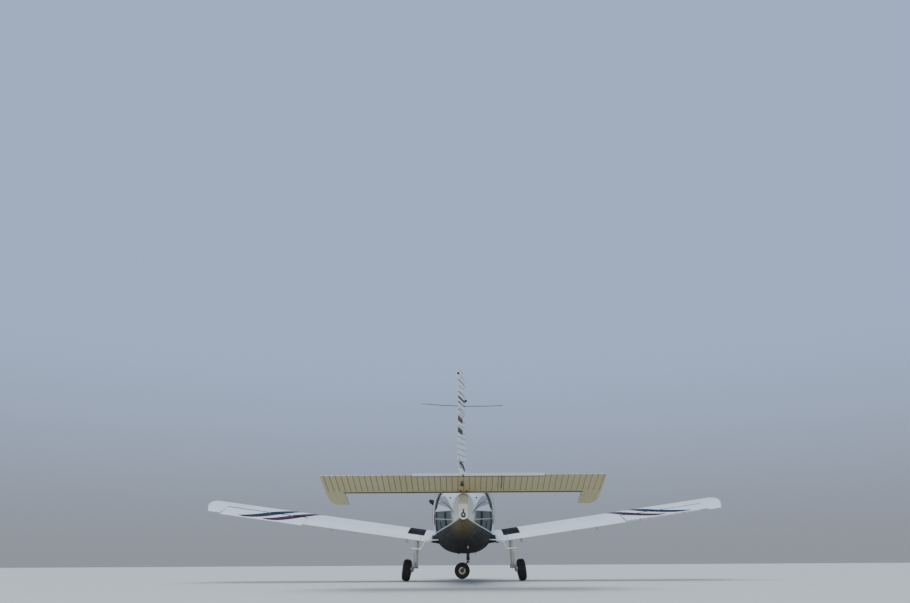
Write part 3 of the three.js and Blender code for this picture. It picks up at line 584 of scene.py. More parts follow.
def seam_group():
    """Thin panel seams at even spacing along one coordinate, with a row of rivets on both sides of each."""
    sizes = {"Spacing": 0.5, "Width": 0.002, "Rivet pitch": 0.03, "Rivet radius": 0.003, "Offset": 0.0}
    g, given, give = group("Seams", ("Seam", "Rivet"), Along=0.0, Across=0.0, **sizes)
    half = g.times(given["Spacing"], 0.5)
    shifted = g.plus(given["Along"], given["Offset"])
    wrapped = g.math("WRAP", shifted, half, g.times(half, -1.0))
    away = g.math("ABSOLUTE", wrapped)
    give("Seam", g.between(away, given["Width"], g.times(given["Width"], 0.4)))
    from_row = g.minus(away, 0.014)
    pitch = g.times(given["Rivet pitch"], 0.5)
    step = g.math("WRAP", given["Across"], pitch, g.times(pitch, -1.0))
    distance = g.math("SQRT", g.plus(g.times(from_row, from_row), g.times(step, step)))
    give("Rivet", g.between(distance, given["Rivet radius"], g.times(given["Rivet radius"], 0.5)))
    return g.tree


def swoosh_group():
    """A stripe whose middle line eases from a base to a reach, widest at one share of its length."""
    sizes = {"Start": 0.0, "Length": 1.0, "Reach": 1.0, "Base": 0.0, "Width": 0.1, "Edge": 0.01, "Fullest": 0.3}
    g, given, give = group("Swoosh", ("Mask",), Along=0.0, Across=0.0, **sizes)
    t = g.math("DIVIDE", g.minus(given["Along"], given["Start"]), given["Length"])
    held = g.most(g.math("MINIMUM", t, 1.0), 0.0)
    left = g.minus(1.0, held)
    ease = g.minus(1.0, g.times(left, left))
    middle = g.scaled(ease, given["Reach"], given["Base"])
    rise = g.math("DIVIDE", held, given["Fullest"])
    fall = g.math("DIVIDE", left, g.minus(1.0, given["Fullest"]))
    width = g.times(given["Width"], g.math("POWER", g.math("MINIMUM", rise, fall), 0.8))
    away = g.off(given["Across"], middle)
    inside = g.between(g.minus(away, width), given["Edge"], 0.0)
    begun = g.times(g.math("GREATER_THAN", t, 0.0), g.math("LESS_THAN", t, 1.0))
    give("Mask", g.times(inside, begun))
    return g.tree


class Finish(Graph):
    """A Principled material with short calls for its inputs and its groups."""

    def __init__(self, name, colour=(0.8, 0.8, 0.8), roughness=0.4, metallic=0.0, **sockets):
        self.material = bpy.data.materials.new(name)
        self.material.use_nodes = True
        super().__init__(self.material.node_tree)
        self.shader = self.tree.nodes["Principled BSDF"]
        self.set(Base_Color=colour, Roughness=roughness, Metallic=metallic, **sockets)

    def set(self, **sockets):
        self.fill(self.shader, **sockets)

    def bump(self, height, strength, distance, normal=None):
        made = self.tree.nodes.new("ShaderNodeBump")
        return self.fill(made, Strength=strength, Distance=distance, Height=height, Normal=normal)[0]

    def use(self, tree, **values):
        return self.fill(self.node("ShaderNodeGroup", out=None, node_tree=tree), **values)


# Finishes
class AircraftPaint(bpy.types.PropertyGroup):
    """Colours of the finish."""

    white: colour_prop("White", "Body and wings", (0.80, 0.80, 0.77))
    # Painted warm shade on the tail's undersides
    shade_cream: colour_prop("Shaded_cream", "Tail surfaces", (0.42, 0.365, 0.165))
    slate: colour_prop("Slate", "Blue-grey stripes", (0.024, 0.034, 0.055))
    maroon: colour_prop("Maroon", "Dark red stripes", (0.060, 0.022, 0.040))
    walkway: colour_prop("Walkway", "Grit beside the cabin", (0.006, 0.006, 0.007))
    # Near black: grime on the finishes, and painted shade on the body's belly
    film_and_shade: colour_prop("Film", "Oil and dust on the belly", (0.0055, 0.0058, 0.0038))
    # Painted shade under the belly by the tail, tinted greenish brown
    shade_olive: colour_prop("Olive", "Belly by the tail", (0.135, 0.096, 0.030))
    post: colour_prop("Post", "End of the body", (0.70, 0.68, 0.56))
    # Heights between which the body is painted darker towards the bottom as shade
    belly_shade_top: length_prop("Belly film top", "Where the film ends", 0.86)
    belly_shade_base: length_prop("Belly film base", "Where it is thickest", 0.60)
    rudder_line: length_prop("Rudder line", "Height of one crease on the rudder", 1.770)


GLOSS_COAT = 0.22


class AIRCRAFT_OT_finishes(bpy.types.Operator):
    """Build every material of the aircraft"""

    bl_idname = "aircraft.finishes"
    bl_label = "Finishes"

    def execute(self, context):
        given = context.scene.aircraft_finishes
        self.weather, self.seams, self.swoosh = weather_group(), seam_group(), swoosh_group()
        for name in ("body", "hood", "spinner"):
            FINISH[name] = self.body(given, name)
        FINISH["wing"] = self.wing(given)
        FINISH["tail"] = self.tail(given)
        FINISH["fin"] = self.fin(given)
        FINISH["glass"] = self.glass()
        self.plain(given)
        self.metals()
        self.soft()
        return {"FINISHED"}

    def aged(self, f, given, base, mattes, dust, grime, top, low):
        """Lays dust and grime over a colour, breaks up the gloss and dulls it under the matte masks; on the body's
        belly the grime is painted shade.
        """
        out = f.use(self.weather, Dust=dust, Grime=grime, Grime_top=top, Grime_base=low)
        clean, coat = out["Dust"], GLOSS_COAT
        gloss = f.plus(f.scaled(out["Grime"], 0.35, 0.32), out["Roughness"])
        if mattes:
            matte = f.most(*mattes)
            clean = f.times(clean, f.minus(1.0, matte))
            gloss = f.scaled(matte, 0.5, gloss, clamp=True)
            coat = f.scaled(matte, -GLOSS_COAT, GLOSS_COAT, clamp=True)
        dirt_and_shade = f.mix(out["Grime"], f.mix(clean, base, (0.52, 0.50, 0.44)), given.film_and_shade)
        f.set(Base_Color=dirt_and_shade, Roughness=gloss, Coat_Weight=coat, Coat_Roughness=0.12, Specular_IOR_Level=0.10)
        return out

    def body(self, given, name):
        f = Finish(f"Gloss white {name}")
        x, y, z = f.object_xyz()
        white = given.white
        tone = f.noise(1.4, 4, 0.6)
        colour = f.mix(f.times(tone, 0.16), white, (0.60, 0.62, 0.64))
        mattes = []
        if name == "body":
            # Along the datum, zero at the spinner's tip and growing aft
            run = f.minus(NOSE_Y, y)
            level = f.scaled(run, tan(DATUM), z)
            chine = f.minus(z, f.scaled(run, 0.0118, 0.772))
            upper = f.between(chine, -0.004, 0.004)
            # The upper flank aft of the cabin is painted dark grey-teal and mottled along its length: a painted
            # reflection of dark surroundings
            reflected_flank = f.times(f.between(level, 1.392, 1.378), f.between(run, 6.45, 5.85))
            reflected_flank = f.times(reflected_flank, upper, f.between(run, 3.40, 3.44))
            reflection = f.noise(1.0, 4, 0.6, stretch=(1.0, 5.0, 0.4))
            colour = f.mix(
                f.times(reflected_flank, 0.93), colour, f.mix(reflection, (0.018, 0.026, 0.028), (0.105, 0.125, 0.120))
            )
            mattes.append(reflected_flank)
            # Columns: run from, run to, lowest level, highest level
            bars = ((3.44, 3.80, 1.04, 1.385), (4.36, 4.52, 1.10, 1.235), (5.02, 5.34, 1.10, 1.385))
            for fore, aft, low, high in bars:
                bar = f.times(f.between(run, fore - 0.02, fore + 0.02), f.between(run, aft + 0.02, aft - 0.02))
                bar = f.times(bar, f.between(level, low, low + 0.02), f.between(level, high, high - 0.02))
                colour = f.mix(f.times(bar, upper, 0.9), colour, (0.006, 0.009, 0.010))
            line = f.between(f.off(level, 1.262), 0.010, 0.005)
            colour = f.mix(f.times(line, reflected_flank, 0.45), colour, white)
            side = f.off(x, 0.0)
            tail_end = f.times(f.between(run, 6.20, 6.40), f.between(side, 0.072, 0.064))
            colour = f.mix(tail_end, colour, given.post)
            for start, length, reach, base, width, full, tint in (
                (6.45, -3.05, 0.264, 1.338, 0.052, 0.72, given.maroon),
                (6.35, -2.95, 0.155, 1.370, 0.030, 0.62, given.slate),
            ):
                place = {"Along": run, "Across": level, "Start": start, "Length": length}
                mask = f.use(self.swoosh, Reach=reach, Base=base, Width=width, Edge=0.006, Fullest=full, **place)
                aft = f.times(mask["Mask"], f.between(run, 3.40, 3.44), upper)
                colour = f.mix(f.times(aft, 0.60), colour, tint)
                mattes.append(aft)
            # Painted shade under the belly: greenish brown by the tail and near black farther forward, mottled by
            # noise
            shade_mottle = f.noise(3.0, 5, 0.6, stretch=(4.0, 0.5, 4.0))
            shade_olive = f.mix(f.between(run, 5.0, 6.7), given.film_and_shade, given.shade_olive)
            inboard = f.between(side, 0.598, 0.578)
            belly = f.times(f.between(chine, 0.0, -0.016), f.between(run, 1.2, 2.6), inboard)
            stain_and_shade = f.times(belly, f.scaled(shade_mottle, 0.10, 0.90), clamp=True)
            colour = f.mix(stain_and_shade, colour, shade_olive)
            # A painted highlight along the chine aft of the cabin
            light = f.times(f.between(f.math("ABSOLUTE", chine), 0.007, 0.003), f.between(run, 3.4, 3.6))
            colour = f.mix(f.times(light, 0.75), colour, (0.60, 0.64, 0.62))
            mattes += [stain_and_shade, tail_end]
        # The weather's grime darkens the body towards the bottom between the belly heights: painted shade under
        # the belly
        out = self.aged(f, given, colour, mattes, 0.22, 0.5, given.belly_shade_top, given.belly_shade_base)
        sizes = {"Width": 0.0016, "Rivet_pitch": 0.032, "Rivet_radius": 0.0032}
        seam = f.use(self.seams, Along=y, Across=z, Spacing=0.61, Offset=0.13, **sizes)
        row = f.use(self.seams, Along=z, Across=y, Spacing=0.43, Offset=0.11, **sizes)
        height = f.minus(f.most(seam["Rivet"], row["Rivet"]), f.most(seam["Seam"], row["Seam"]))
        f.set(Normal=f.bump(out["Height"], 0.03, 0.0005, f.bump(height, 0.5, 0.0012)))
        return f.material

    def wing(self, given):
        f = Finish("Gloss white wing")
        span, share, _ = f.split(f.node("ShaderNodeUVMap", uv_map="Surface"))
        tone = f.noise(1.6, 4, 0.6)
        colour = f.mix(f.times(tone, 0.14), given.white, (0.62, 0.65, 0.68))
        upper = f.math("GREATER_THAN", share, 0.0)
        mattes = []
        stripes = ((2.06, 1.05, 0.95, 0.148, given.maroon), (2.45, 1.12, 0.95, 0.148, given.slate))
        for start, length, reach, width, tint in stripes:
            place = {"Along": span, "Across": share, "Start": start, "Length": length}
            mask = f.use(self.swoosh, Reach=reach, Base=0.0, Width=width, Edge=0.008, Fullest=0.24, **place)
            stripe = f.times(mask["Mask"], upper)
            colour = f.mix(stripe, colour, tint)
            mattes.append(stripe)
        edge_in = f.between(span, 0.106, 0.111)
        edge_out = f.between(span, 0.427, 0.422)
        fore = f.between(share, 0.12, 0.13)
        aft = f.between(share, 0.779, 0.772)
        walk = f.times(edge_in, edge_out, fore, aft)
        grit = f.noise(420.0, 2, 0.7)
        worn = f.times(walk, f.scaled(f.noise(5.0, 5, 0.65), -0.22, 1.12), clamp=True)
        colour = f.mix(worn, colour, given.walkway)
        out = self.aged(f, given, colour, [*mattes, walk], 0.22, 0.25, 0.75, 0.55)
        sizes = {"Width": 0.0014, "Rivet_pitch": 0.024, "Rivet_radius": 0.003}
        seam = f.use(self.seams, Along=span, Across=share, Spacing=0.36, Offset=0.05, **sizes)
        sizes = {"Width": 0.0012, "Rivet_pitch": 0.030, "Rivet_radius": 0.003}
        spar = f.use(self.seams, Along=share, Across=span, Spacing=0.29, Offset=0.12, **sizes)
        height = f.minus(f.times(f.most(seam["Rivet"], spar["Rivet"]), 0.5), seam["Seam"])
        height = f.plus(height, f.times(walk, grit, 1.5))
        f.set(Normal=f.bump(out["Height"], 0.03, 0.0005, f.bump(height, 0.45, 0.0010)))
        return f.material

    def tail(self, given):
        f = Finish("Cream tail")
        x, y, _ = f.object_xyz()
        tone = f.noise(2.0, 4, 0.6)
        streak = f.noise(1.0, 4, 0.6, stretch=(22.0, 1.0, 1.0))
        # Faces that look down are painted cream as warm shade; faces that look up stay white
        under = f.between(f.split(f.node("ShaderNodeTexCoord", out="Normal"))[2], 0.15, -0.15)
        shade_creamy = f.mix(f.times(tone, 0.25), given.shade_cream, given.white)
        colour = f.mix(under, given.white, shade_creamy)
        colour = f.mix(f.times(f.between(streak, 0.5, 0.75), 0.18), colour, (0.38, 0.36, 0.30))
        # Painted shade: a dark line in the crease beside each bead. A painted shadow in the gap along the hinge,
        # and a dark line in the gaps over the tabs
        crease = f.math("ABSOLUTE", f.math("WRAP", f.minus(x, 0.0075), 0.0375, -0.0375))
        line = f.times(f.between(crease, 0.0065, 0.0030), f.between(y, -3.14, -3.16))
        colour = f.mix(f.times(line, 0.72), colour, (0.085, 0.075, 0.040))
        side = f.off(x, 0.0)
        # The hinge's gap is painted black as shadow
        hinge = f.times(f.between(y, -3.124, -3.116), f.between(y, -3.044, -3.052))
        hinge = f.times(hinge, f.between(side, 1.602, 1.598), under)
        tabs = f.times(f.between(y, -3.536, -3.544), f.between(x, -0.66, -0.655), f.between(x, 1.045, 1.040))
        colour = f.mix(f.times(hinge, 0.93), colour, (0.006, 0.006, 0.006))
        colour = f.mix(f.times(tabs, 0.85), colour, (0.075, 0.035, 0.014))
        out = self.aged(f, given, colour, [hinge, tabs, f.times(under, 0.5)], 0.15, 0.0, 0.5, 0.2)
        f.set(Normal=f.bump(out["Height"], 0.04, 0.0005))
        return f.material

    def fin(self, given):
        f = Finish("Gloss white fin")
        _, y, z = f.object_xyz()
        tone = f.noise(2.0, 4, 0.6)
        colour = f.mix(f.times(tone, 0.16), given.white, (0.58, 0.61, 0.62))
        rear = f.between(y, -3.235, -3.250)
        mattes = []
        # Painted shade: a grey line in the crease of each rudder bead, measured along the tilted hinge
        height = f.scaled(y, -sin(DATUM), f.times(z, cos(DATUM)))
        crease = f.math("ABSOLUTE", f.math("WRAP", f.minus(height, given.rudder_line), 0.0385, -0.0385))
        line = f.times(f.between(crease, 0.0075, 0.0040), f.between(y, -3.06, -3.09))
        colour = f.mix(f.times(line, 0.72), colour, (0.06, 0.085, 0.105))
        # Columns: lowest level, highest level, only on the rear half, colour
        for low, high, patch, tint in (
            (2.072, 2.138, True, (0.150, 0.030, 0.020)),
            (1.918, 1.995, True, (0.012, 0.060, 0.032)),
            (2.640, 2.656, False, (0.09, 0.12, 0.14)),
            (2.470, 2.484, False, (0.10, 0.125, 0.10)),
            (2.385, 2.425, False, (0.030, 0.045, 0.036)),
            (2.330, 2.350, False, (0.045, 0.060, 0.050)),
            (2.222, 2.236, False, given.slate),
            (2.136, 2.152, True, (0.010, 0.012, 0.012)),
        ):
            band = f.times(f.between(z, low, low + 0.003), f.between(z, high, high - 0.003))
            shown = f.times(band, rear) if patch else band
            colour = f.mix(f.times(shown, 0.9), colour, tint)
            mattes.append(shown)
        out = self.aged(f, given, colour, mattes, 0.22, 0.0, 0.5, 0.2)
        f.set(Normal=f.bump(out["Height"], 0.03, 0.0005))
        return f.material

    def glass(self):
        """Clear acrylic with a faint grey tint and fine wipe marks in its gloss."""
        f = Finish("Canopy acrylic", (0.86, 0.90, 0.91), 0.03, 0.0, Transmission_Weight=1.0, IOR=1.49)
        fine = f.noise(60.0, 3, 0.6, stretch=(1.0, 0.12, 1.0))
        f.set(Roughness=f.scaled(fine, 0.05, 0.0))
        return f.material

    def plain(self, given):
        """Columns: name, colour, roughness, bump scale, bump strength"""
        table = [
            ("black", (0.014, 0.014, 0.016), 0.45, 160, 0.10),
            ("black_paint", (0.020, 0.021, 0.024), 0.30, 90, 0.06),
            ("black_soft", (0.018, 0.018, 0.019), 0.85, 320, 0.35),
            ("white_trim", (0.82, 0.83, 0.82), 0.30, 90, 0.05),
            ("leg", (0.74, 0.72, 0.66), 0.32, 70, 0.08),
            ("step", (0.86, 0.86, 0.80), 0.38, 110, 0.10),
            ("panel", (0.055, 0.058, 0.062), 0.55, 420, 0.30),
            ("dial", (0.010, 0.010, 0.011), 0.22, 60, 0.02),
            ("primer", (0.22, 0.055, 0.030), 0.60, 140, 0.25),
            ("rubber", (0.018, 0.018, 0.019), 0.72, 260, 0.22),
        ]
        for name, colour, roughness, scale, strength in table:
            f = Finish(name.replace("_", " ").capitalize())
            out = f.use(self.weather, Dust=0.30, Grime=0.35, Grime_top=0.45, Grime_base=0.05)
            base = f.mix(f.times(f.noise(6.0, 5, 0.6), 0.35), colour, [c * 1.5 + 0.01 for c in colour])
            dusty = f.mix(f.times(out["Dust"], 0.5), base, (0.30, 0.29, 0.26))
            f.set(Base_Color=f.mix(out["Grime"], dusty, given.film_and_shade))
            f.set(
                Roughness=f.plus(out["Roughness"], roughness, clamp=True),
                Normal=f.bump(f.noise(scale, 3, 0.6), strength, 0.0006),
            )
            FINISH[name] = f.material
        for name, colour in (("red_lens", (0.75, 0.02, 0.02)), ("green_lens", (0.01, 0.45, 0.12))):
            f = Finish(name.replace("_", " ").capitalize(), colour, 0.08, 0.0, Transmission_Weight=0.6, IOR=1.49)
            f.set(Roughness=f.scaled(f.noise(80.0, 2, 0.5), 0.06, 0.04))
            FINISH[name] = f.material

    def metals(self):
        """Columns: name, colour, roughness, metallic, brushing across x, y, z"""
        table = [
            ("steel", (0.34, 0.34, 0.33), 0.38, 0.9, (60, 6, 60)),
            ("arm", (0.52, 0.52, 0.50), 0.36, 0.75, (30, 30, 30)),
            ("rim", (0.72, 0.72, 0.69), 0.36, 0.45, (26, 26, 26)),
            ("exhaust", (0.34, 0.27, 0.21), 0.45, 0.85, (18, 18, 18)),
            ("engine", (0.16, 0.16, 0.16), 0.5, 0.6, (24, 24, 24)),
            ("blade", (0.022, 0.023, 0.026), 0.32, 0.2, (8, 40, 8)),
        ]
        for name, colour, roughness, metallic, stretch in table:
            f = Finish(f"{name.capitalize()} metal", colour, roughness, metallic)
            grain = f.noise(12.0, 4, 0.6, stretch=stretch)
            stain_and_shade = f.noise(9.0, 5, 0.65)
            worn = f.mix(f.between(stain_and_shade, 0.45, 0.75), colour, [c * 0.55 for c in colour])
            f.set(Base_Color=worn)
            f.set(Roughness=f.scaled(grain, 0.24, roughness - 0.12), Normal=f.bump(grain, 0.12, 0.0005))
            FINISH[name] = f.material

    def soft(self):
        """Tyre rubber, woven seats, carpet and lining."""
        f = Finish("Tyre rubber")
        mottled = f.mix(f.noise(14.0, 5, 0.65), (0.012, 0.012, 0.012), (0.040, 0.038, 0.034))
        low = f.between(f.object_xyz()[2], 0.16, 0.0)
        mottled = f.mix(f.times(low, f.noise(20.0, 4, 0.6), 0.5), mottled, (0.10, 0.09, 0.06))
        f.set(Base_Color=mottled, Roughness=f.scaled(f.noise(40.0, 3, 0.6), 0.2, 0.68))
        f.set(Normal=f.bump(f.noise(260.0, 3, 0.6), 0.22, 0.0006))
        FINISH["tyre"] = f.material
        for name, colour, other, pitch in (
            ("cushion", (0.20, 0.165, 0.125), (0.28, 0.235, 0.18), 900.0),
            ("carpet", (0.060, 0.058, 0.055), (0.11, 0.105, 0.095), 500.0),
            ("lining", (0.34, 0.32, 0.28), (0.42, 0.40, 0.35), 700.0),
        ):
            f = Finish(f"{name.capitalize()} cloth", Sheen_Weight=0.35, Sheen_Roughness=0.5)
            x, y, z = f.object_xyz()
            along = f.math("SINE", f.times(f.plus(y, z), pitch))
            across = f.math("SINE", f.times(x, pitch))
            weave = f.times(along, across)
            blend = f.scaled(weave, 0.25, f.noise(8.0, 5, 0.6), clamp=True)
            f.set(Base_Color=f.mix(blend, colour, other), Roughness=f.scaled(f.noise(30.0, 3, 0.6), 0.15, 0.8))
            f.set(Normal=f.bump(f.plus(weave, f.noise(300.0, 2, 0.6)), 0.25, 0.0006))
            FINISH[name] = f.material


# Wing, in a frame with its origin at the root rib's trailing edge: x outboard, y forward, z up
CHORD = 1.300
WING_ROOT = (0.640, NOSE_Y - 3.100, 0.668)
DIHEDRAL, INCIDENCE = radians(7.9), radians(7.2)
WING_END = 4.118
TIP_RIB = 4.092
POCKET = (0.034, 4.066, 1.100)
FLAP = {
    "name": "flap", "inner": 0.165, "outer": 2.338, "y": 0.470, "drop": 0.062, "dip": 0.008,
    "brackets": (0.430, 1.870),
}
AILERON = {
    "name": "aileron", "inner": 2.352, "outer": 3.885, "y": 0.440, "drop": 0.008, "dip": 0.052,
    "brackets": (2.700, 3.560),
}
SLAT = {"inner": 0.040, "outer": 4.060, "rear": 1.110, "low": -0.042, "out": 0.058, "down": 0.008}
COVE_GAP = 0.004
BLADE_GAP = 0.012


def wing_place(points, side):
    """From the wing's frame to the aircraft's, mirrored for the left wing."""
    ca, sa, cb, sb = cos(INCIDENCE), sin(INCIDENCE), cos(-DIHEDRAL), sin(-DIHEDRAL)
    pitch = np.array([(1, 0, 0), (0, ca, -sa), (0, sa, ca)])
    roll = np.array([(cb, 0, sb), (0, 1, 0), (-sb, 0, cb)])
    placed = np.asarray(points, float) @ (roll @ pitch).T + np.array(WING_ROOT)
    return placed * (side, 1, 1)


def foil_z(share, side):
    """Height of the upper (1) or lower (-1) surface at a share of the chord, on a four-figure section."""
    share = np.clip(share, 0, 1)
    rest = share * (-0.126 + share * (-0.3516 + share * (0.2843 - share * 0.1036)))
    half = 0.145 * CHORD * 5 * (0.2969 * np.sqrt(share) + rest) + 0.0022 * share
    return 0.022 * CHORD * 4 * share * (1 - share) + side * half


def skin(start, end, side, count):
    """Columns y, z and side times share along one surface; the points crowd towards the leading edge."""
    share = np.linspace(sqrt(1 - start / CHORD), sqrt(1 - end / CHORD), count) ** 2
    return np.stack([CHORD * (1 - share), foil_z(share, side), side * share], 1)


def tip_bow(share):
    """How far the tip stands out beyond its trailing edge at a share of the chord."""
    bow = 0.225 * np.sin(np.clip((1 - share) / 0.62, 0, 1) * HALF_TURN)
    return bow - 0.110 * np.clip(1 - share / 0.3, 0, 1) ** 2


def nose(rear, back, thin, count=22):
    """The wing's nose behind the slat: the section drawn back and made thinner, its upper side first."""
    limit = 1 - (rear + back) / CHORD
    root = np.linspace(-sqrt(limit), sqrt(limit), count * 2)
    side = np.where(root < 0, 1, -1)
    share = root**2
    z = foil_z(share, side)
    return np.stack([CHORD * (1 - share) - back, z * thin, side * share], 1)


def low_skin(y):
    return float(foil_z(1 - y / CHORD, -1))


def on_skin(y, rise):
    """A place over the lower surface."""
    return y, low_skin(y) + rise


def hinge_of(part):
    return part["y"], low_skin(part["y"]) - part["drop"]


def arc_meets_skin(part, radius):
    """How far forward the circle about a hinge meets the lower surface, by halving."""
    y, z = hinge_of(part)
    near, far = 0.0, radius
    for _ in range(40):
        middle = (near + far) / 2
        inside = middle**2 + (low_skin(y + middle) - z) ** 2 < radius**2
        near, far = (middle, far) if inside else (near, middle)
    return y + near


def cove_radius(part):
    y, z = hinge_of(part)
    return float(foil_z(1 - y / CHORD, 1)) - z - COVE_GAP


def hinge_arc(part, radius, turn):
    """An arc about a hinge; its share of the chord stays that of the hinge."""
    y, z = hinge_of(part)
    return grid(y + radius * np.cos(turn), z + radius * np.sin(turn), 1 - y / CHORD)


def wing_ring(part, pocket):
    """The fixed wing's section, with or without room for a hinged part behind and for the slat in front."""
    front = POCKET[2] if pocket else CHORD
    if part:
        y, z = hinge_of(part)
        radius = cove_radius(part)
        low = arc_meets_skin(part, radius)
        rows = [skin(y, front, 1, 34)]
    else:
        low = 0.0
        rows = [skin(0, front, 1, 46)]
    if pocket:
        rows.append(nose(POCKET[2], 0.043, 0.85))
    rows.append(skin(front, low, -1, 46)[(0 if pocket else 1):])
    if part:
        turn = np.linspace(atan2(low_skin(low) - z, low - y), HALF_TURN, 14)[1:]
        rows.append(hinge_arc(part, radius, turn))
    return np.concatenate(rows)


def hinged_ring(part, clip=False):
    """A flap's or aileron's section: the aft part of the wing's, with a round nose about its hinge."""
    y, z = hinge_of(part)
    radius = cove_radius(part) - BLADE_GAP + COVE_GAP
    step = y - part["dip"]
    low = y - 0.026 if clip else arc_meets_skin(part, radius)
    start = np.arccos((step - y) / radius)
    end = np.arccos((low - y) / radius) if clip else atan2(low_skin(low) - z, low - y)
    arc = hinge_arc(part, radius, np.linspace(start, end, 16))
    return np.concatenate([skin(0, step, 1, 26), arc, skin(low, 0, -1, 26)])


def slat_ring():
    """The section's front, hollowed by the wing's own nose."""
    share = np.linspace(0, 0.1, 200)
    low = CHORD * (1 - float(np.interp(-SLAT["low"], -foil_z(share, -1), share)))
    outer = np.concatenate([skin(SLAT["rear"], CHORD, 1, 22), skin(CHORD, low, -1, 12)[1:]])
    inner = nose(SLAT["rear"], 0.036, 0.92, 16)[::-1]
    inner = inner[(inner[:, 1] > SLAT["low"] + 0.001)]
    return np.concatenate([outer, inner])


def span_solid(shape, ring, start, end, side, rest=0.0, hinge=(0, 0), shift=(0, 0)):
    """A section pushed along the span, turned about its hinge and put in its place."""
    lean = np.array([(cos(rest), sin(rest)), (-sin(rest), cos(rest))])
    flat = (ring[:, :2] - hinge) @ lean + hinge + shift
    spans = np.array([[start], [end]])
    rings = wing_place(grid(spans, flat[:, 0], flat[:, 1]), side)
    return shape.add(rings, tube(rings), grid(spans, ring[:, 2]))


def rib_plate(shape, outline, start, end, side, rest=0.0, hinge=(0, 0)):
    """A flat plate across the span, from an outline of (y, z) points."""
    outline = round_loop(outline, 0.006, 4, 1)
    ring = np.concatenate([outline, np.zeros((len(outline), 1))], 1)
    return span_solid(shape, ring, start, end, side, rest, hinge)


class AircraftWings(bpy.types.PropertyGroup):
    """Rest angles and details of the wings."""

    aileron_rest: angle_prop("Aileron rest", "Left one up and right one down", 3)
    tip_draw: bpy.props.FloatProperty(
        name="Tip draw", description="Share by which the tip's edge is thinner", default=0.30
    )


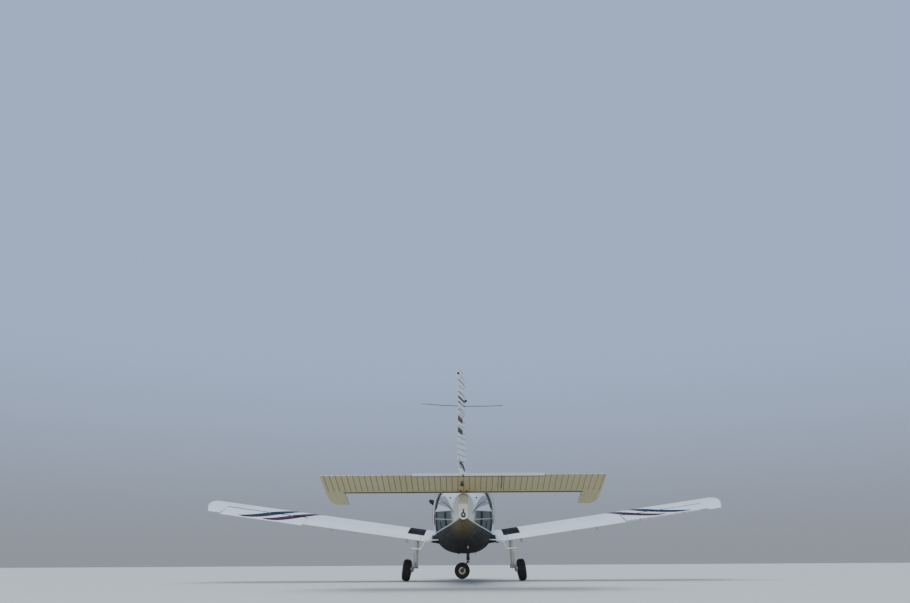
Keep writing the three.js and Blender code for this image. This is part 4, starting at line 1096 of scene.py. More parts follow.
class AIRCRAFT_OT_wings(bpy.types.Operator):
    """Make each wing with its slat, flap, aileron, brackets, lamps and jack pad"""

    bl_idname = "aircraft.wings"
    bl_label = "Wings"

    def execute(self, context):
        given = context.scene.aircraft_wings
        for label, side in SIDES:
            self.wing(given, label, side)
            self.slat(label, side)
            self.hinged(FLAP, label, side, 0.0)
            self.hinged(AILERON, label, side, -given.aileron_rest * side)
            self.lamps(label, side)
        return {"FINISHED"}

    def wing(self, given, label, side):
        """Columns of the segments: inner span, outer span, what is hinged behind, room for the slat."""
        shape = Shape()
        spans = [
            (0.0, POCKET[0], None, False),
            (POCKET[0], FLAP["inner"] - 0.007, None, True),
            (FLAP["inner"] - 0.007, FLAP["outer"] + 0.007, FLAP, True),
            (AILERON["inner"] - 0.007, AILERON["outer"] + 0.007, AILERON, True),
            (AILERON["outer"] + 0.007, POCKET[1], None, True),
        ]
        for start, end, part, pocket in spans:
            span_solid(shape, wing_ring(part, pocket), start, end, side)
        self.tip(shape, given, side)
        for part in (FLAP, AILERON):
            self.brackets(shape, part, side)
        pad = [(0, 0.07), (0.040, 0.07), (0.040, 0.004), (0.036, 0), (0.012, 0), (0.010, 0.006), (0, 0.006)]
        place = wing_place((1.5, 0.8, -0.128), side)
        up = wing_place((1.5, 0.8, 0.0), side) - place
        lathe(shape, pad, place, up, 32)
        piece(f"wing_skin_{label}", shape, "wing", "airframe", [f"wing_{label}"], sharp=32)

    def tip(self, shape, given, side):
        """The rings bow outwards ahead of the trailing edge and draw in along a quarter circle to a flat rib."""
        ring = np.concatenate([skin(0, CHORD, 1, 46), skin(CHORD, 0, -1, 46)[1:]])
        turn = np.linspace(0, HALF_TURN, 9)
        out = np.concatenate([[0], 0.86 + 0.14 * np.sin(turn)])[:, None]
        spans = np.concatenate([[POCKET[1]], TIP_RIB + (WING_END - TIP_RIB) * np.sin(turn)])[:, None]
        drop = np.concatenate([[0], 1 - np.cos(turn)])[:, None]
        middle = CHORD * 0.56
        x = spans + out * tip_bow(np.abs(ring[:, 2]))
        y = middle + (ring[:, 0] - middle) * (1 - 0.034 * drop)
        rings = np.stack([x, y, ring[:, 1] * (1 - given.tip_draw * drop)], -1)
        rings = wing_place(rings, side)
        shape.add(rings, tube(rings), grid(x, ring[:, 2]))

    def brackets(self, shape, part, side):
        y, z = hinge_of(part)
        eye = [(y - 0.016, z - 0.016), (y - 0.016, z + 0.016)]
        if part is FLAP:
            outline = [on_skin(y + 0.300, 0.012), (y + 0.016, z - 0.016), *eye]
            outline += [on_skin(y + 0.200, -0.012), on_skin(y + 0.206, 0.012)]
        else:
            outline = [on_skin(y + 0.180, -0.004), *eye, on_skin(y + 0.180, 0.014)]
        for span in part["brackets"]:
            rib_plate(shape, outline, span - 0.005, span + 0.005, side)
            for reach in (-0.0065, 0.0065):
                place = wing_place((span + reach, y, z), side)
                screw(shape, place, (side * np.sign(reach), 0, 0.14), 0.007, 0.003, 6)

    def slat(self, label, side):
        shape = Shape()
        ring = slat_ring()
        span_solid(shape, ring, SLAT["inner"], SLAT["outer"], side, shift=(SLAT["out"], -SLAT["down"]))
        piece(f"slat_skin_{label}", shape, "wing", f"slat_{label}", [f"slat_{label}"], sharp=32)

    def hinged(self, part, label, side, rest):
        """A run of sections between slots, which are cut short where the part dips past a bracket."""
        name, hinge = part["name"], hinge_of(part)
        slots = part["brackets"] if name == "aileron" else ()
        edges = [part["inner"]]
        shape = Shape()
        for span in slots:
            span_solid(shape, hinged_ring(part), edges[-1], span - 0.012, side, rest, hinge)
            span_solid(shape, hinged_ring(part, True), span - 0.012, span + 0.010, side, rest, hinge)
            edges.append(span + 0.010)
        span_solid(shape, hinged_ring(part), edges[-1], part["outer"], side, rest, hinge)
        y, z = hinge
        reach = 0.2 if name == "flap" else 0.16
        outline = [(y + 0.014, z - 0.014), (y + 0.014, z + 0.020), on_skin(y + 0.010, 0.014)]
        outline += [on_skin(y - reach, 0.008), (y - 0.014, z - 0.014)]
        for span in part["brackets"]:
            rib_plate(shape, outline, span + 0.011, span + 0.019, side, rest, hinge)
        piece(f"{name}_skin_{label}", shape, "wing", f"{name}_{label}", [f"{name}_{label}"], sharp=32)

    def lamps(self, label, side):
        """A coloured lamp on each tip, half an ellipsoid on a thin base."""
        turn = np.linspace(0, HALF_TURN, 10)
        lens = np.stack([0.020 * np.cos(turn), 0.030 * np.sin(turn)], 1)
        edge = WING_END + float(tip_bow(np.array(0.25))) - 0.006
        place = wing_place((edge, 0.975, 0.012), side)
        out = wing_place((edge + 0.1, 0.985, 0.012), side) - place
        shape = Shape()
        lathe(shape, [(0, 0), (0.020, 0), *lens[1:-1], (0, 0.030)], place, out, 28)
        colour = "red_lens" if side < 0 else "green_lens"
        piece(f"tip_lamp_{label}", shape, colour, "airframe")
        base = Shape()
        lathe(base, [(0, -0.006), (0.024, -0.006), (0.026, 0.002), (0.021, 0.004), (0, 0.004)], place, out, 28)
        piece(f"tip_lamp_base_{label}", base, "steel")


# Tail
TAIL_HINGE = {"s": 6.720, "z": 1.226, "tilt": radians(5)}
ELEVATOR_REST = radians(20.5)
RUDDER_HINGE = {"s": 6.655, "z": 1.400}
RUDDER_REST = radians(8)
FIN_TOP = 1.088
# Rows across half a bead each way, and half the width and the height of the rudder's beads
BEAD_STEPS = np.array([-1, -0.66, -0.33, 0, 0.33, 0.66, 1])
RUDDER_BEAD, RUDDER_BEAD_RISE = 0.009, 0.0035
# Slopes of the two planes under the elevator's swing, and their distance from its hinge
SWING, SWING_GAP = (radians(5), radians(26)), 0.0425
# Height at which the rudder's horn begins, and how much its foot rises with each metre aft
SPLIT, FOOT_SLOPE = 1.0955, 0.1697
# Columns: distance forward of the hinge, half thickness
TAILPLANE = np.array(
    [(0.040, 0.0386), (0.200, 0.046), (0.380, 0.0405), (0.490, 0.0258), (0.540, 0.012), (0.556, 0.0028)]
)
ELEVATOR_NOSE = 0.034
ELEVATOR = np.array([(-0.508, 0.003), (-0.260, 0.020), (-0.060, 0.033), (0.0, ELEVATOR_NOSE)])
HORN = np.array(
    [(0.0, ELEVATOR_NOSE), (0.030, ELEVATOR_NOSE), (0.250, 0.031), (0.420, 0.022), (0.510, 0.012), (0.540, 0.003)]
)
HORN_INNER = 1.600
TAILPLANE_END = 1.592
ELEVATOR_END = 1.838
TABS = (("left", -0.655, -0.012), ("right", 0.012, 1.040))
# Columns: height, front, half thickness
FIN = np.array(
    [
        (-0.170, 1.500, 0.010), (-0.060, 1.290, 0.036), (0.040, 1.130, 0.044), (0.500, 0.766, 0.038),
        (1.088, 0.308, 0.030),
    ]
)
# Columns: height, rear, half thickness
RUDDER = np.array(
    [
        (0.010, -0.478, 0.038), (0.500, -0.430, 0.036), (1.096, -0.378, 0.030), (1.330, -0.350, 0.026),
        (1.426, -0.320, 0.015),
    ]
)


def turned(points, origin, *turns):
    """Turns points about axes through the origin, the first turn first, then moves them to an origin."""
    points = np.asarray(points, float)
    for axis, angle in turns:
        c, s = cos(angle), sin(angle)
        i, j = {"x": (1, 2), "y": (2, 0), "z": (0, 1)}[axis]
        a, b = points[..., i].copy(), points[..., j].copy()
        points = points.copy()
        points[..., i], points[..., j] = a * c - b * s, a * s + b * c
    return points + np.asarray(origin)


def there_and_back(x, y):
    """Rows that go forward on one side and come back on the other."""
    return np.concatenate([x, -x[:, ::-1]], 1), np.concatenate([y, y[:, ::-1]], 1)


def tail_place(points, rest=0.0):
    return turned(points, (0, y_of(TAIL_HINGE["s"]), TAIL_HINGE["z"]), ("x", TAIL_HINGE["tilt"] - rest))


def elevator_place(points):
    return tail_place(points, ELEVATOR_REST)


def fin_place(points, rest=0.0):
    return turned(points, (0, y_of(RUDDER_HINGE["s"]), RUDDER_HINGE["z"]), ("z", -rest), ("x", DATUM))


def rudder_place(points):
    return fin_place(points, RUDDER_REST)


class AircraftTail(bpy.types.PropertyGroup):
    """Beads pressed into the skins of the tail."""

    bead_pitch: length_prop("Bead pitch", "From bead to bead", 0.075)
    bead_half: length_prop("Bead half width", "Half the width", 0.0075)
    bead_rise: length_prop("Bead rise", "Height of a bead", 0.0032)
    rudder_pitch: length_prop("Rudder bead pitch", "From bead to bead on the rudder", 0.077)


class AIRCRAFT_OT_tail(bpy.types.Operator):
    """Make the rear body, the tailplane, the beaded elevator with its tabs, the fin and the beaded rudder"""

    bl_idname = "aircraft.tail"
    bl_label = "Tail"

    def execute(self, context):
        given = context.scene.aircraft_tail
        self.rear_body()
        self.tail_lamp()
        self.tailplane()
        self.elevator(given)
        self.fin()
        self.rudder(given)
        self.antenna()
        return {"FINISHED"}

    def rear_body(self):
        """The section's ring, held under two planes that leave room for the elevator to swing."""
        angle = circle(96)
        s = np.concatenate([np.linspace(3.9508, 6.60, 60), np.linspace(6.62, 7.052, 24)])
        outside = self.held(on_body(REAR, s[:, None], angle))
        inside = self.held(on_body(REAR, np.linspace(6.9, 3.9508, 30)[:, None], angle, 0.012)) - (0, 0, 0.004)
        middle, inner_middle = outside[-1].mean(0), inside[0].mean(0)
        end = middle + (outside[-1] - middle) * np.array((0.97, 1, 0.97)) - (0, 0.004, 0)
        cap = middle + (end - end.mean(0)) * 0.2 - (0, 0.004, 0)
        inner_cap = inner_middle + (inside[0] - inner_middle) * 0.2
        whole = np.concatenate([outside, [end, cap, inner_cap], inside])
        shape = Shape().add(whole, tube(whole, closed=True))
        lug = [(y_of(6.900), 0.750), (y_of(6.830), 0.750), (y_of(6.815), 0.835), (y_of(6.915), 0.835)]
        shape.plate(round_loop(lug, 0.014), "x", (-0.006, 0.006))
        piece("rear_body_skin", shape, "body", "airframe", ["rear_fuselage"])
        vents = Shape()
        for side in (-1, 1):
            spot = on_body(REAR, 5.50, angle_at(REAR, 5.50, 0.190))
            cup = [(0, -0.01), (0.012, -0.01), (0.012, 0.016), (0.010, 0.019), (0.006, 0.018), (0, 0.012)]
            lathe(vents, cup, spot * (side, 1, 1), (side * 0.75, -0.15, 0.65), 20)
        lathe(
            vents, [(0, -0.01), (0.010, -0.01), (0.011, 0.004), (0, 0.006)], (0, y_of(6.865), 0.768), (1, 0, 0), 12
        )
        piece("rear_body_vents", vents, "black")

    def held(self, points):
        """Keeps each point under the elevator's room aft of its hinge."""
        back = points[..., 1] - y_of(TAIL_HINGE["s"])
        limits = [TAIL_HINGE["z"] + back * tan(lean) - SWING_GAP / cos(lean) for lean in SWING]
        top = np.where(back < 0, np.minimum(*limits), 9)
        held = points.copy()
        held[..., 2] = np.minimum(points[..., 2], top)
        return held

    def tail_lamp(self):
        """A white ring round a white dome with a keyhole of dark behind it."""
        place, axis = (0, y_of(7.046), 0.882), (0, -1, 0)
        ring = [
            (0.058, 0), (0.058, 0.024), (0.054, 0.031), (0.044, 0.032), (0.034, 0.026), (0.028, 0.016), (0.028, 0)
        ]
        shape = Shape()
        lathe(shape, ring, place, axis, 48)
        piece("tail_lamp_ring", shape, "white_trim", "airframe", ["tail_light"])
        dark = Shape()
        lathe(dark, [(0, 0.001), (0.0285, 0.001), (0.0285, 0.012), (0.02, 0.014), (0, 0.014)], place, axis, 32)
        half = [(0.008, 0.938), (0.012, 0.905), (0.026, 0.898), (0.026, 0.846)]
        slot = [(-0.008, 0.938), *half, (-0.026, 0.846), (-0.026, 0.898), (-0.012, 0.905)]
        dark.plate(round_loop(slot, 0.005), "y", (y_of(7.05), y_of(7.0785)))
        piece("tail_lamp_socket", dark, "black", "airframe")
        bulb = Shape()
        turn = np.linspace(0, HALF_TURN, 8)[1:-1]
        dome = [(0.011 * cos(t), 0.028 + 0.012 * sin(t)) for t in turn]
        lathe(bulb, [(0, 0.012), (0.011, 0.012), (0.011, 0.028), *dome, (0, 0.040)], place, axis, 24)
        piece("tail_lamp_bulb", bulb, "white_trim", "airframe")

    def tailplane(self):
        y = np.concatenate(
            [np.linspace(0.040, 0.48, 14), 0.556 - 0.076 * (1 - np.sin(np.linspace(0.1, HALF_TURN, 12)))]
        )
        half = np.interp(y, TAILPLANE[:, 0], TAILPLANE[:, 1])
        half = np.where(y > 0.47, 0.0285 * np.sqrt(np.clip(1 - ((y - 0.47) / 0.0865) ** 2, 0, 1)), half)
        ring = np.concatenate([np.stack([y, half], 1), np.stack([y, -half], 1)[::-1]])
        turn = np.linspace(0, HALF_TURN, 7)
        x = np.concatenate(
            [0.012 * (1 - np.sin(turn[::-1])) - TAILPLANE_END, TAILPLANE_END - 0.012 * (1 - np.sin(turn))]
        )
        share = np.concatenate([1 - 0.35 * (1 - np.cos(turn[::-1])), 1 - 0.35 * (1 - np.cos(turn))])
        rings = grid(x[:, None], ring[:, 0], ring[:, 1] * share[:, None])
        shape = Shape().add(tail_place(rings), tube(rings))
        piece("tailplane_skin", shape, "tail", "airframe", ["tailplane"], sharp=32)

    def bead(self, given, x, y, rear, front):
        """A bead is a raised cosine across its width, and fades out before the edges."""
        wrapped = (x + given.bead_pitch / 2) % given.bead_pitch - given.bead_pitch / 2
        across = np.cos(np.clip(wrapped / given.bead_half, -1, 1) * HALF_TURN) ** 2
        along = smooth((y - rear) / 0.03) * smooth((front - y) / 0.03)
        return given.bead_rise * across * along

    def columns(self, given, start, end):
        """Places across the span: seven to each bead and its two ends."""
        first, last = int(np.floor(start / given.bead_pitch)), int(np.ceil(end / given.bead_pitch))
        centres = np.arange(first, last + 1) * given.bead_pitch
        steps = BEAD_STEPS * given.bead_half
        x = (centres[:, None] + steps).ravel()
        x = x[(x > start + 0.002) & (x < end - 0.002)]
        return np.concatenate([[start], x, [end]])

    def panel(self, shape, given, start, end, rear, horn=0):
        """One stretch of the elevator between two spans: a wedge with a round nose, or with a horn to its end."""
        x = self.columns(given, start, end)
        profile = np.concatenate([ELEVATOR, HORN[1:]]) if horn else ELEVATOR
        front = HORN[-1, 0] if horn else 0.0
        y = rear + (front - rear) * np.linspace(0, 1, 40 if horn else 18)
        half = np.interp(y, profile[:, 0], profile[:, 1])
        if horn:
            around = np.concatenate([y, y[::-1]])
            height = np.concatenate([half, -half[::-1]])
        else:
            turn = np.linspace(HALF_TURN, -HALF_TURN, 13)[1:-1]
            around = np.concatenate([y, ELEVATOR_NOSE * np.cos(turn), y[::-1]])
            height = np.concatenate([half, ELEVATOR_NOSE * np.sin(turn), -half[::-1]])
        across = x[:, None]
        if horn:
            reach = ELEVATOR_END - 0.118 * np.clip((around - 0.33) / 0.21, 0, 1) ** 2
            across = HORN_INNER + (across - HORN_INNER) / (end - HORN_INNER) * (reach - HORN_INNER)
        rise = self.bead(given, x[:, None], around, rear + 0.02, front - 0.03)
        placed = elevator_place(grid(across * (horn or 1), around, height + np.sign(height) * rise))
        return shape.add(placed, strip_faces(placed), grid(across, around))

    def elevator(self, given):
        shape = Shape()
        cuts = [-HORN_INNER, -0.657, -0.010, 0.010, 1.042, HORN_INNER]
        for start, end, rear in zip(cuts, cuts[1:], (-0.508, -0.470, -0.508, -0.470, -0.508)):
            self.panel(shape, given, start, end, rear)
        for side in (-1, 1):
            self.panel(shape, given, HORN_INNER, ELEVATOR_END, -0.508, side)
        piece("elevator_skin", shape, "tail", "elevator", ["elevator"], sharp=50)
        for label, start, end in TABS:
            x = self.columns(given, start, end)
            y = np.linspace(-0.548, -0.474, 7)
            half = np.interp(y, (-0.548, -0.474), (0.002, 0.0045))
            around, height = np.concatenate([y, y[::-1]]), np.concatenate([half, -half[::-1]])
            rings = grid(x[:, None], around, height)
            tab = Shape().add(elevator_place(rings), strip_faces(rings))
            piece(
                f"trim_tab_skin_{label}", tab, "white_trim", "elevator", [f"trim_tab_{label}"], sharp=50
            )
        self.elevator_fittings()

    def elevator_fittings(self):
        """A dark control horn and its reddish root in the middle, and the tab's thin rod under the right side."""
        dark = Shape()
        sweep(
            dark, elevator_place([(0.50, -0.18, -0.052), (0.50, -0.32, -0.040), (0.50, -0.470, -0.020)]), 0.004, 8
        )
        for y, z in ((-0.18, -0.040), (-0.455, -0.014)):
            lug = [(y - 0.018, z + 0.014), (y + 0.018, z + 0.014), (y + 0.010, z - 0.020), (y - 0.010, z - 0.020)]
            dark.plate(round_loop(lug, 0.005), "x", (0.496, 0.504), elevator_place)
        # Columns: rear end, front end, inner side, outer side
        for rear, front, left, right in ((-0.335, -0.205, -0.024, -0.004), (-0.245, -0.200, -0.036, 0.012)):
            horn = [(rear, -0.008), (front, -0.010), (front, -0.034), (rear + 0.01, -0.033), (rear, -0.026)]
            dark.plate(round_loop(horn, 0.006), "x", (left, right), elevator_place)
        piece("elevator_horn", dark, "black", "elevator")
        red = Shape()
        for x in (-0.052, 0.030):
            bar = elevator_place([(x, 0.010, -0.030), (x + 0.012, -0.03, -0.045), (x + 0.022, -0.06, -0.036)])
            sweep(red, rounded(bar, 0.4), 0.010, 10)
        root = elevator_place([(-0.075, -0.004, -0.034), (0.075, -0.004, -0.034)])
        sweep(red, root, 0.008, 10, up=(0, 1, 0))
        piece("elevator_hinge_fitting", red, "primer", "elevator")

    def fin(self):
        """Rows up the hinge line; the section is widest in its rear half and ends in an ellipse at the front."""
        z = np.linspace(-0.170, FIN_TOP, 40)
        front, half = np.interp(z, FIN[:, 0], FIN[:, 1]), np.interp(z, FIN[:, 0], FIN[:, 2])
        t = np.concatenate([np.linspace(0, 0.86, 14), 1 - 0.14 * (1 - np.sin(np.linspace(0.12, HALF_TURN, 12)))])
        thick = 0.80 + 0.20 * smooth(t / 0.45) - 0.38 * smooth((t - 0.5) / 0.5)
        thick = np.where(t > 0.86, thick * np.sqrt(np.clip(1 - ((t - 0.86) / 0.1405) ** 2, 0, 1)), thick)
        y = 0.046 + (front[:, None] - 0.046) * t
        x = half[:, None] * thick
        rings = grid(*there_and_back(x, y), z[:, None])
        shape = Shape().add(fin_place(rings), strip_faces(rings))
        piece("fin_skin", shape, "fin", "airframe", ["fin"], sharp=32)

    def rudder(self, given):
        """Rows up the hinge line, beaded on both sides; above the fin a horn reaches forward."""
        beads = np.arange(0.17, 1.04, given.rudder_pitch)
        steps = BEAD_STEPS * RUDDER_BEAD
        z = np.unique(np.concatenate([[0.0, 0.02, 0.05, 0.08], (beads[:, None] + steps).ravel(), [1.06, SPLIT]]))
        shape = Shape()
        for heights, horn in ((z, False), (np.linspace(1.0965, 1.426, 22), True)):
            rear = np.interp(heights, RUDDER[:, 0], RUDDER[:, 1])
            half = np.interp(heights, RUDDER[:, 0], RUDDER[:, 2])
            top = smooth((heights - 1.33) / 0.096)
            front = np.where(horn, 0.262 - (heights - FIN_TOP) * 0.12 - 0.05 * top**2, half * 0.95)
            t = np.linspace(0, 1, 34)
            y = rear[:, None] + (front - rear)[:, None] * t
            if horn:
                thick = np.interp(t, (0, 0.25, 0.6, 0.85, 0.95, 1), (0.09, 0.55, 0.96, 0.72, 0.40, 0.04))
                x = half[:, None] * thick
            else:
                taper = 0.07 + 0.93 * np.clip((y - rear[:, None]) / -rear[:, None], 0, 1) ** 0.85
                round_nose = np.sqrt(np.clip(1 - (np.clip(y, 0, None) / (half[:, None] * 0.96)) ** 2, 0.002, 1))
                x = half[:, None] * np.where(y > 0, round_nose, taper)
                wrapped = np.abs(heights[:, None] - beads[None]).min(1)[:, None]
                rise = np.cos(np.clip(wrapped / RUDDER_BEAD, 0, 1) * HALF_TURN) ** 2 * RUDDER_BEAD_RISE
                x = x + rise * smooth((y - rear[:, None] - 0.02) / 0.03) * smooth((-0.02 - y) / 0.03)
            xs, ys = there_and_back(x, y)
            zs = heights[:, None]
            if not horn:
                bottom = 0.028 + (0.060 - ys) * FOOT_SLOPE
                zs = bottom + (zs / SPLIT) * (SPLIT - bottom)
            rings = grid(xs, ys, zs)
            shape.add(rudder_place(rings), strip_faces(rings), grid(ys, zs))
        piece("rudder_skin", shape, "fin", "rudder", ["rudder"], sharp=50)
        lamp = Shape()
        place = rudder_place((0, -0.350, 1.352))
        aft = rudder_place((0, -0.52, 1.352)) - place
        body = [(0, 0), (0.030, 0), (0.032, 0.014), (0.029, 0.020), (0.020, 0.022), (0.017, 0.018), (0, 0.018)]
        lathe(lamp, body, place, aft, 32)
        piece("rudder_lamp_body", lamp, "white_trim", "rudder")
        lens = Shape()
        turn = np.linspace(0.15, HALF_TURN, 8)[:-1]
        dome = [(0.0200 * cos(a), 0.020 + 0.008 * sin(a)) for a in turn]
        lathe(lens, [(0, 0.015), (0.0200, 0.015), *dome, (0, 0.028)], place, aft, 24)
        piece("rudder_lamp_lens", lens, "black", "rudder")
        dark = Shape()
        knob = [(0, -0.02), (0.017, -0.02), (0.019, 0), (0.015, 0.014), (0, 0.016)]
        lathe(dark, knob, rudder_place((0.028, 0.150, 1.052)), (0.9, -0.6, 0.2), 20)
        upper = [(-0.41, 0.172), (-0.34, 0.172), (-0.16, 0.132), (-0.04, 0.060)]
        crescent = round_loop([*upper, (-0.10, 0.060), (-0.22, 0.118), (-0.41, 0.150)], 0.008)
        dark.plate(crescent, "x", (0.0205, 0.0375), rudder_place)
        piece("rudder_foot_plate", dark, "black", "rudder")

    def antenna(self):
        """Two thin rods that lean back from a block on the fin."""
        shape = Shape()
        for end in ((-0.575, 0.190, 1.028), (0.575, 0.190, 0.993)):
            t = np.linspace(0, 1, 12)[:, None]
            path = np.array((0, 0.330, 1.010)) + t * (np.array(end) - (0, 0.330, 1.010))
            path[:, 2] -= 0.006 * np.sin(t[:, 0] * pi)
            sweep(shape, fin_place(path), 0.0056 - 0.0016 * t[:, 0], 10)
        block = round_loop([(0.300, 0.998), (0.400, 0.998), (0.392, 1.022), (0.308, 1.022)], 0.006)
        shape.plate(block, "x", (-0.034, -0.030, 0.030, 0.034), fin_place)
        piece("antenna_rods", shape, "black", "airframe", ["antenna"])


# Power unit
class AircraftPower(bpy.types.PropertyGroup):
    """Sizes of the cowl's details and of the propeller."""

    lip: length_prop("Lip", "Rounding of the cowl's front", 0.055)
    blade_rest: angle_prop("Blade rest", "Lean of the upper blade to the left", 60)
    pipe_bore: length_prop("Pipe bore", "Inner radius of the exhaust pipe", 0.029)


# Columns: radius, half chord, half thickness, blade angle in degrees
BLADE = np.array([
    (0.060, 0.034, 0.030, 50),
    (0.120, 0.040, 0.027, 47),
    (0.200, 0.048, 0.021, 42),
    (0.420, 0.072, 0.012, 27),
    (0.660, 0.066, 0.008, 20),
    (0.840, 0.050, 0.005, 16),
    (0.885, 0.034, 0.004, 15.2),
    (0.900, 0.010, 0.002, 15),
])
PROP_STATION = 0.150
# Radii of the cowl's front hole, the spinner and its ring of screws
SHAFT_HOLE, SPINNER, SCREW_RING = 0.166, 0.158, 0.1535


class AIRCRAFT_OT_power(bpy.types.Operator):
    """Make the cowl, the spinner, the blades, the engine's finish and the exhaust"""

    bl_idname = "aircraft.power"
    bl_label = "Power unit"

    def execute(self, context):
        given = context.scene.aircraft_power
        self.cowl(given)
        self.spinner()
        self.blades(given)
        self.exhaust(given)
        refinish("engine_block", "engine")
        return {"FINISHED"}

    def cowl(self, given):
        """Rings run forward outside, over the rounded lip, through the shaft's hole and back inside."""
        angle = circle(112)
        s = np.concatenate(
            [np.linspace(1.3256, 0.36, 26), 0.262 + 0.09 * (1 - np.sin(np.linspace(0.2, HALF_TURN, 8)))]
        )
        depth = np.concatenate([np.zeros(26), given.lip * (1 - np.cos(np.linspace(0.2, HALF_TURN, 8)))])
        outside = on_body(COWL, s[:, None], angle, depth[:, None])
        hole = grid(SHAFT_HOLE * np.cos(angle), y_of(0.258), THRUST_Z + SHAFT_HOLE * np.sin(angle))
        share = smooth(np.linspace(0, 1, 9)[1:])[:, None, None]
        face = outside[-1] + (hole - outside[-1]) * share
        back = hole - (0, 0.02, 0)
        s_in = np.linspace(0.30, 1.3256, 20)
        inside = on_body(COWL, s_in[:, None], angle, 0.022 + 0.04 * (1 - smooth((s_in[:, None] - 0.3) / 0.1)))
        rings = np.concatenate([outside, face, back[None], inside])
        shape = Shape().add(rings, tube(rings, closed=True))
        obj = piece("cowl_skin", shape, "body", "airframe", ["cowl"])
        intake = [(0.200, 1.122), (0.322, 1.132), (0.318, 1.236), (0.200, 1.252)]
        cheeks = [round_loop([(x * side, z) for x, z in intake], 0.045) for side in (-1, 1)]
        chin = round_loop([(-0.125, 0.925), (0.125, 0.925), (0.110, 1.000), (-0.110, 1.000)], 0.03)
        corners = ((-0.168, 1.30), (-0.056, 1.30), (-0.056, 1.09), (-0.168, 1.09))
        outlet = round_loop([(x, y_of(s)) for x, s in corners], 0.04)
        tools = [Shape().plate(cheek, "y", (y_of(0.42), y_of(0.2))) for cheek in cheeks]
        carved(
            obj, *tools, Shape().plate(chin, "y", (y_of(0.46), y_of(0.2))),
            Shape().plate(outlet, "z", (0.44, 0.70)),
        )
        rims = Shape()
        for loop, depth in zip((*cheeks, chin), (0.345, 0.345, 0.36)):
            self.baffle(rims, loop, depth)
        piece("cowl_baffles", rims, "black")

    def baffle(self, shape, loop, depth):
        """A dark rim a little inside an intake, drawn in by a fifth."""
        middle = loop.mean(0)
        walk = ((0.30, 1.06), (depth, 0.98), (depth, 0.72), (depth + 0.01, 0.72), (depth + 0.01, 1.06))
        rings = np.array([np.insert(middle + (loop - middle) * share, 1, y_of(s), axis=1) for s, share in walk])
        shape.add(rings, tube(rings, closed=True))

    def spinner(self):
        """Radius = largest radius times (1 - (1 - t)^2)^0.6, with t from the tip to the shoulder."""
        t = np.linspace(0, 1, 26)[1:] ** 1.5
        front = np.stack([SPINNER * (1 - (1 - t) ** 2) ** 0.6, -0.170 * t], 1)
        rear = [
            (0.1575, -0.20), (0.1545, -0.226), (0.1505, -0.229), (0.1505, -0.233), (0.1545, -0.236),
            (0.150, -0.2495),
        ]
        shape = Shape()
        lathe(shape, [(0, 0), *front, *rear, (0, -0.2495)], (0, NOSE_Y, THRUST_Z), (0, 1, 0), 64)
        piece("spinner_shell", shape, "spinner", "propeller", ["spinner"])
        ring = Shape()
        for angle in circle(12) + pi / 12:
            spot = (SCREW_RING * cos(angle), y_of(0.214), THRUST_Z + SCREW_RING * sin(angle))
            screw(ring, spot, (cos(angle), 0.08, sin(angle)), 0.0045, 0.004)
        piece("spinner_screws", ring, "steel", "propeller")

    def blades(self, given):
        """Each blade is a run of flat ovals with a fuller leading edge, coarse at the root and fine at the tip."""
        radius = np.concatenate([np.linspace(0.060, 0.84, 22), np.linspace(0.86, 0.900, 8)])
        half, thick, tilt = (np.interp(radius, BLADE[:, 0], BLADE[:, i])[:, None] for i in (1, 2, 3))
        turn = circle(28)
        u = half * np.cos(turn)
        v = thick * np.sin(turn) * (1 + 0.35 * np.cos(turn)) + half * 0.04 * (1 - np.cos(turn) ** 2)
        tilt = np.radians(tilt)
        x = u * np.cos(tilt) - v * np.sin(tilt)
        s = PROP_STATION + u * np.sin(tilt) + v * np.cos(tilt)
        shape = Shape()
        for lean in (given.blade_rest, given.blade_rest + pi):
            across = x * cos(lean) - radius[:, None] * sin(lean)
            up = x * sin(lean) + radius[:, None] * cos(lean)
            rings = np.stack([across, y_of(s), THRUST_Z + up], -1)
            shape.add(rings, tube(rings), grid(radius[:, None], np.cos(turn)))
        hub = [(0, 0), (0.060, 0), (0.066, -0.006), (0.066, -0.094), (0.060, -0.1), (0, -0.1)]
        lathe(shape, hub, (0, y_of(0.1), THRUST_Z), (0, 1, 0), 32)
        piece("propeller_blades", shape, "blade", "propeller", ["propeller"])

    def exhaust(self, given):
        """A pipe that comes down inside the cowl and turns aft, open at its end."""
        path = rounded(
            [(-0.112, y_of(1.15), 0.905), (-0.112, y_of(1.16), 0.585), (-0.112, y_of(1.298), 0.511)], 0.32, 9
        )
        shape = Shape()
        pipe(shape, path, 0.0335, given.pipe_bore, (1, 0, 0), 28)
        clamp = path[[3, 4]]
        sweep(shape, clamp, 0.037, 24, up=(1, 0, 0))
        piece("exhaust_tail_pipe", shape, "exhaust", "airframe", ["exhaust_pipe"])
        drain = Shape()
        sweep(drain, [(0.218, y_of(2.12), 0.530), (0.218, y_of(2.13), 0.472)], 0.010, 12, up=(1, 0, 0))
        sweep(drain, [(0.066, y_of(4.58), 0.600), (0.066, y_of(4.60), 0.525)], 0.008, 12, up=(1, 0, 0))
        piece("belly_drains", drain, "step")


# Cabin
class AircraftCabin(bpy.types.PropertyGroup):
    """Walls, panes and seals of the cabin."""

    wall: length_prop("Wall", "Thickness of the tub", 0.036)
    skin: length_prop("Skin", "Thickness of the hood's frame", 0.022)
    corner: length_prop("Corner", "Rounding of the windows' corners", 0.075)
    seal: length_prop("Seal", "Half the width of the rubber round a pane", 0.006)


HOOD_PANES = (("front", 2.010, 2.640), ("rear", 2.700, 3.285))
REAR_PANE = [(3.420, 1.190), (3.760, 1.230), (3.860, 1.480), (3.800, 1.560), (3.420, 1.660)]
AROUND = 0.7


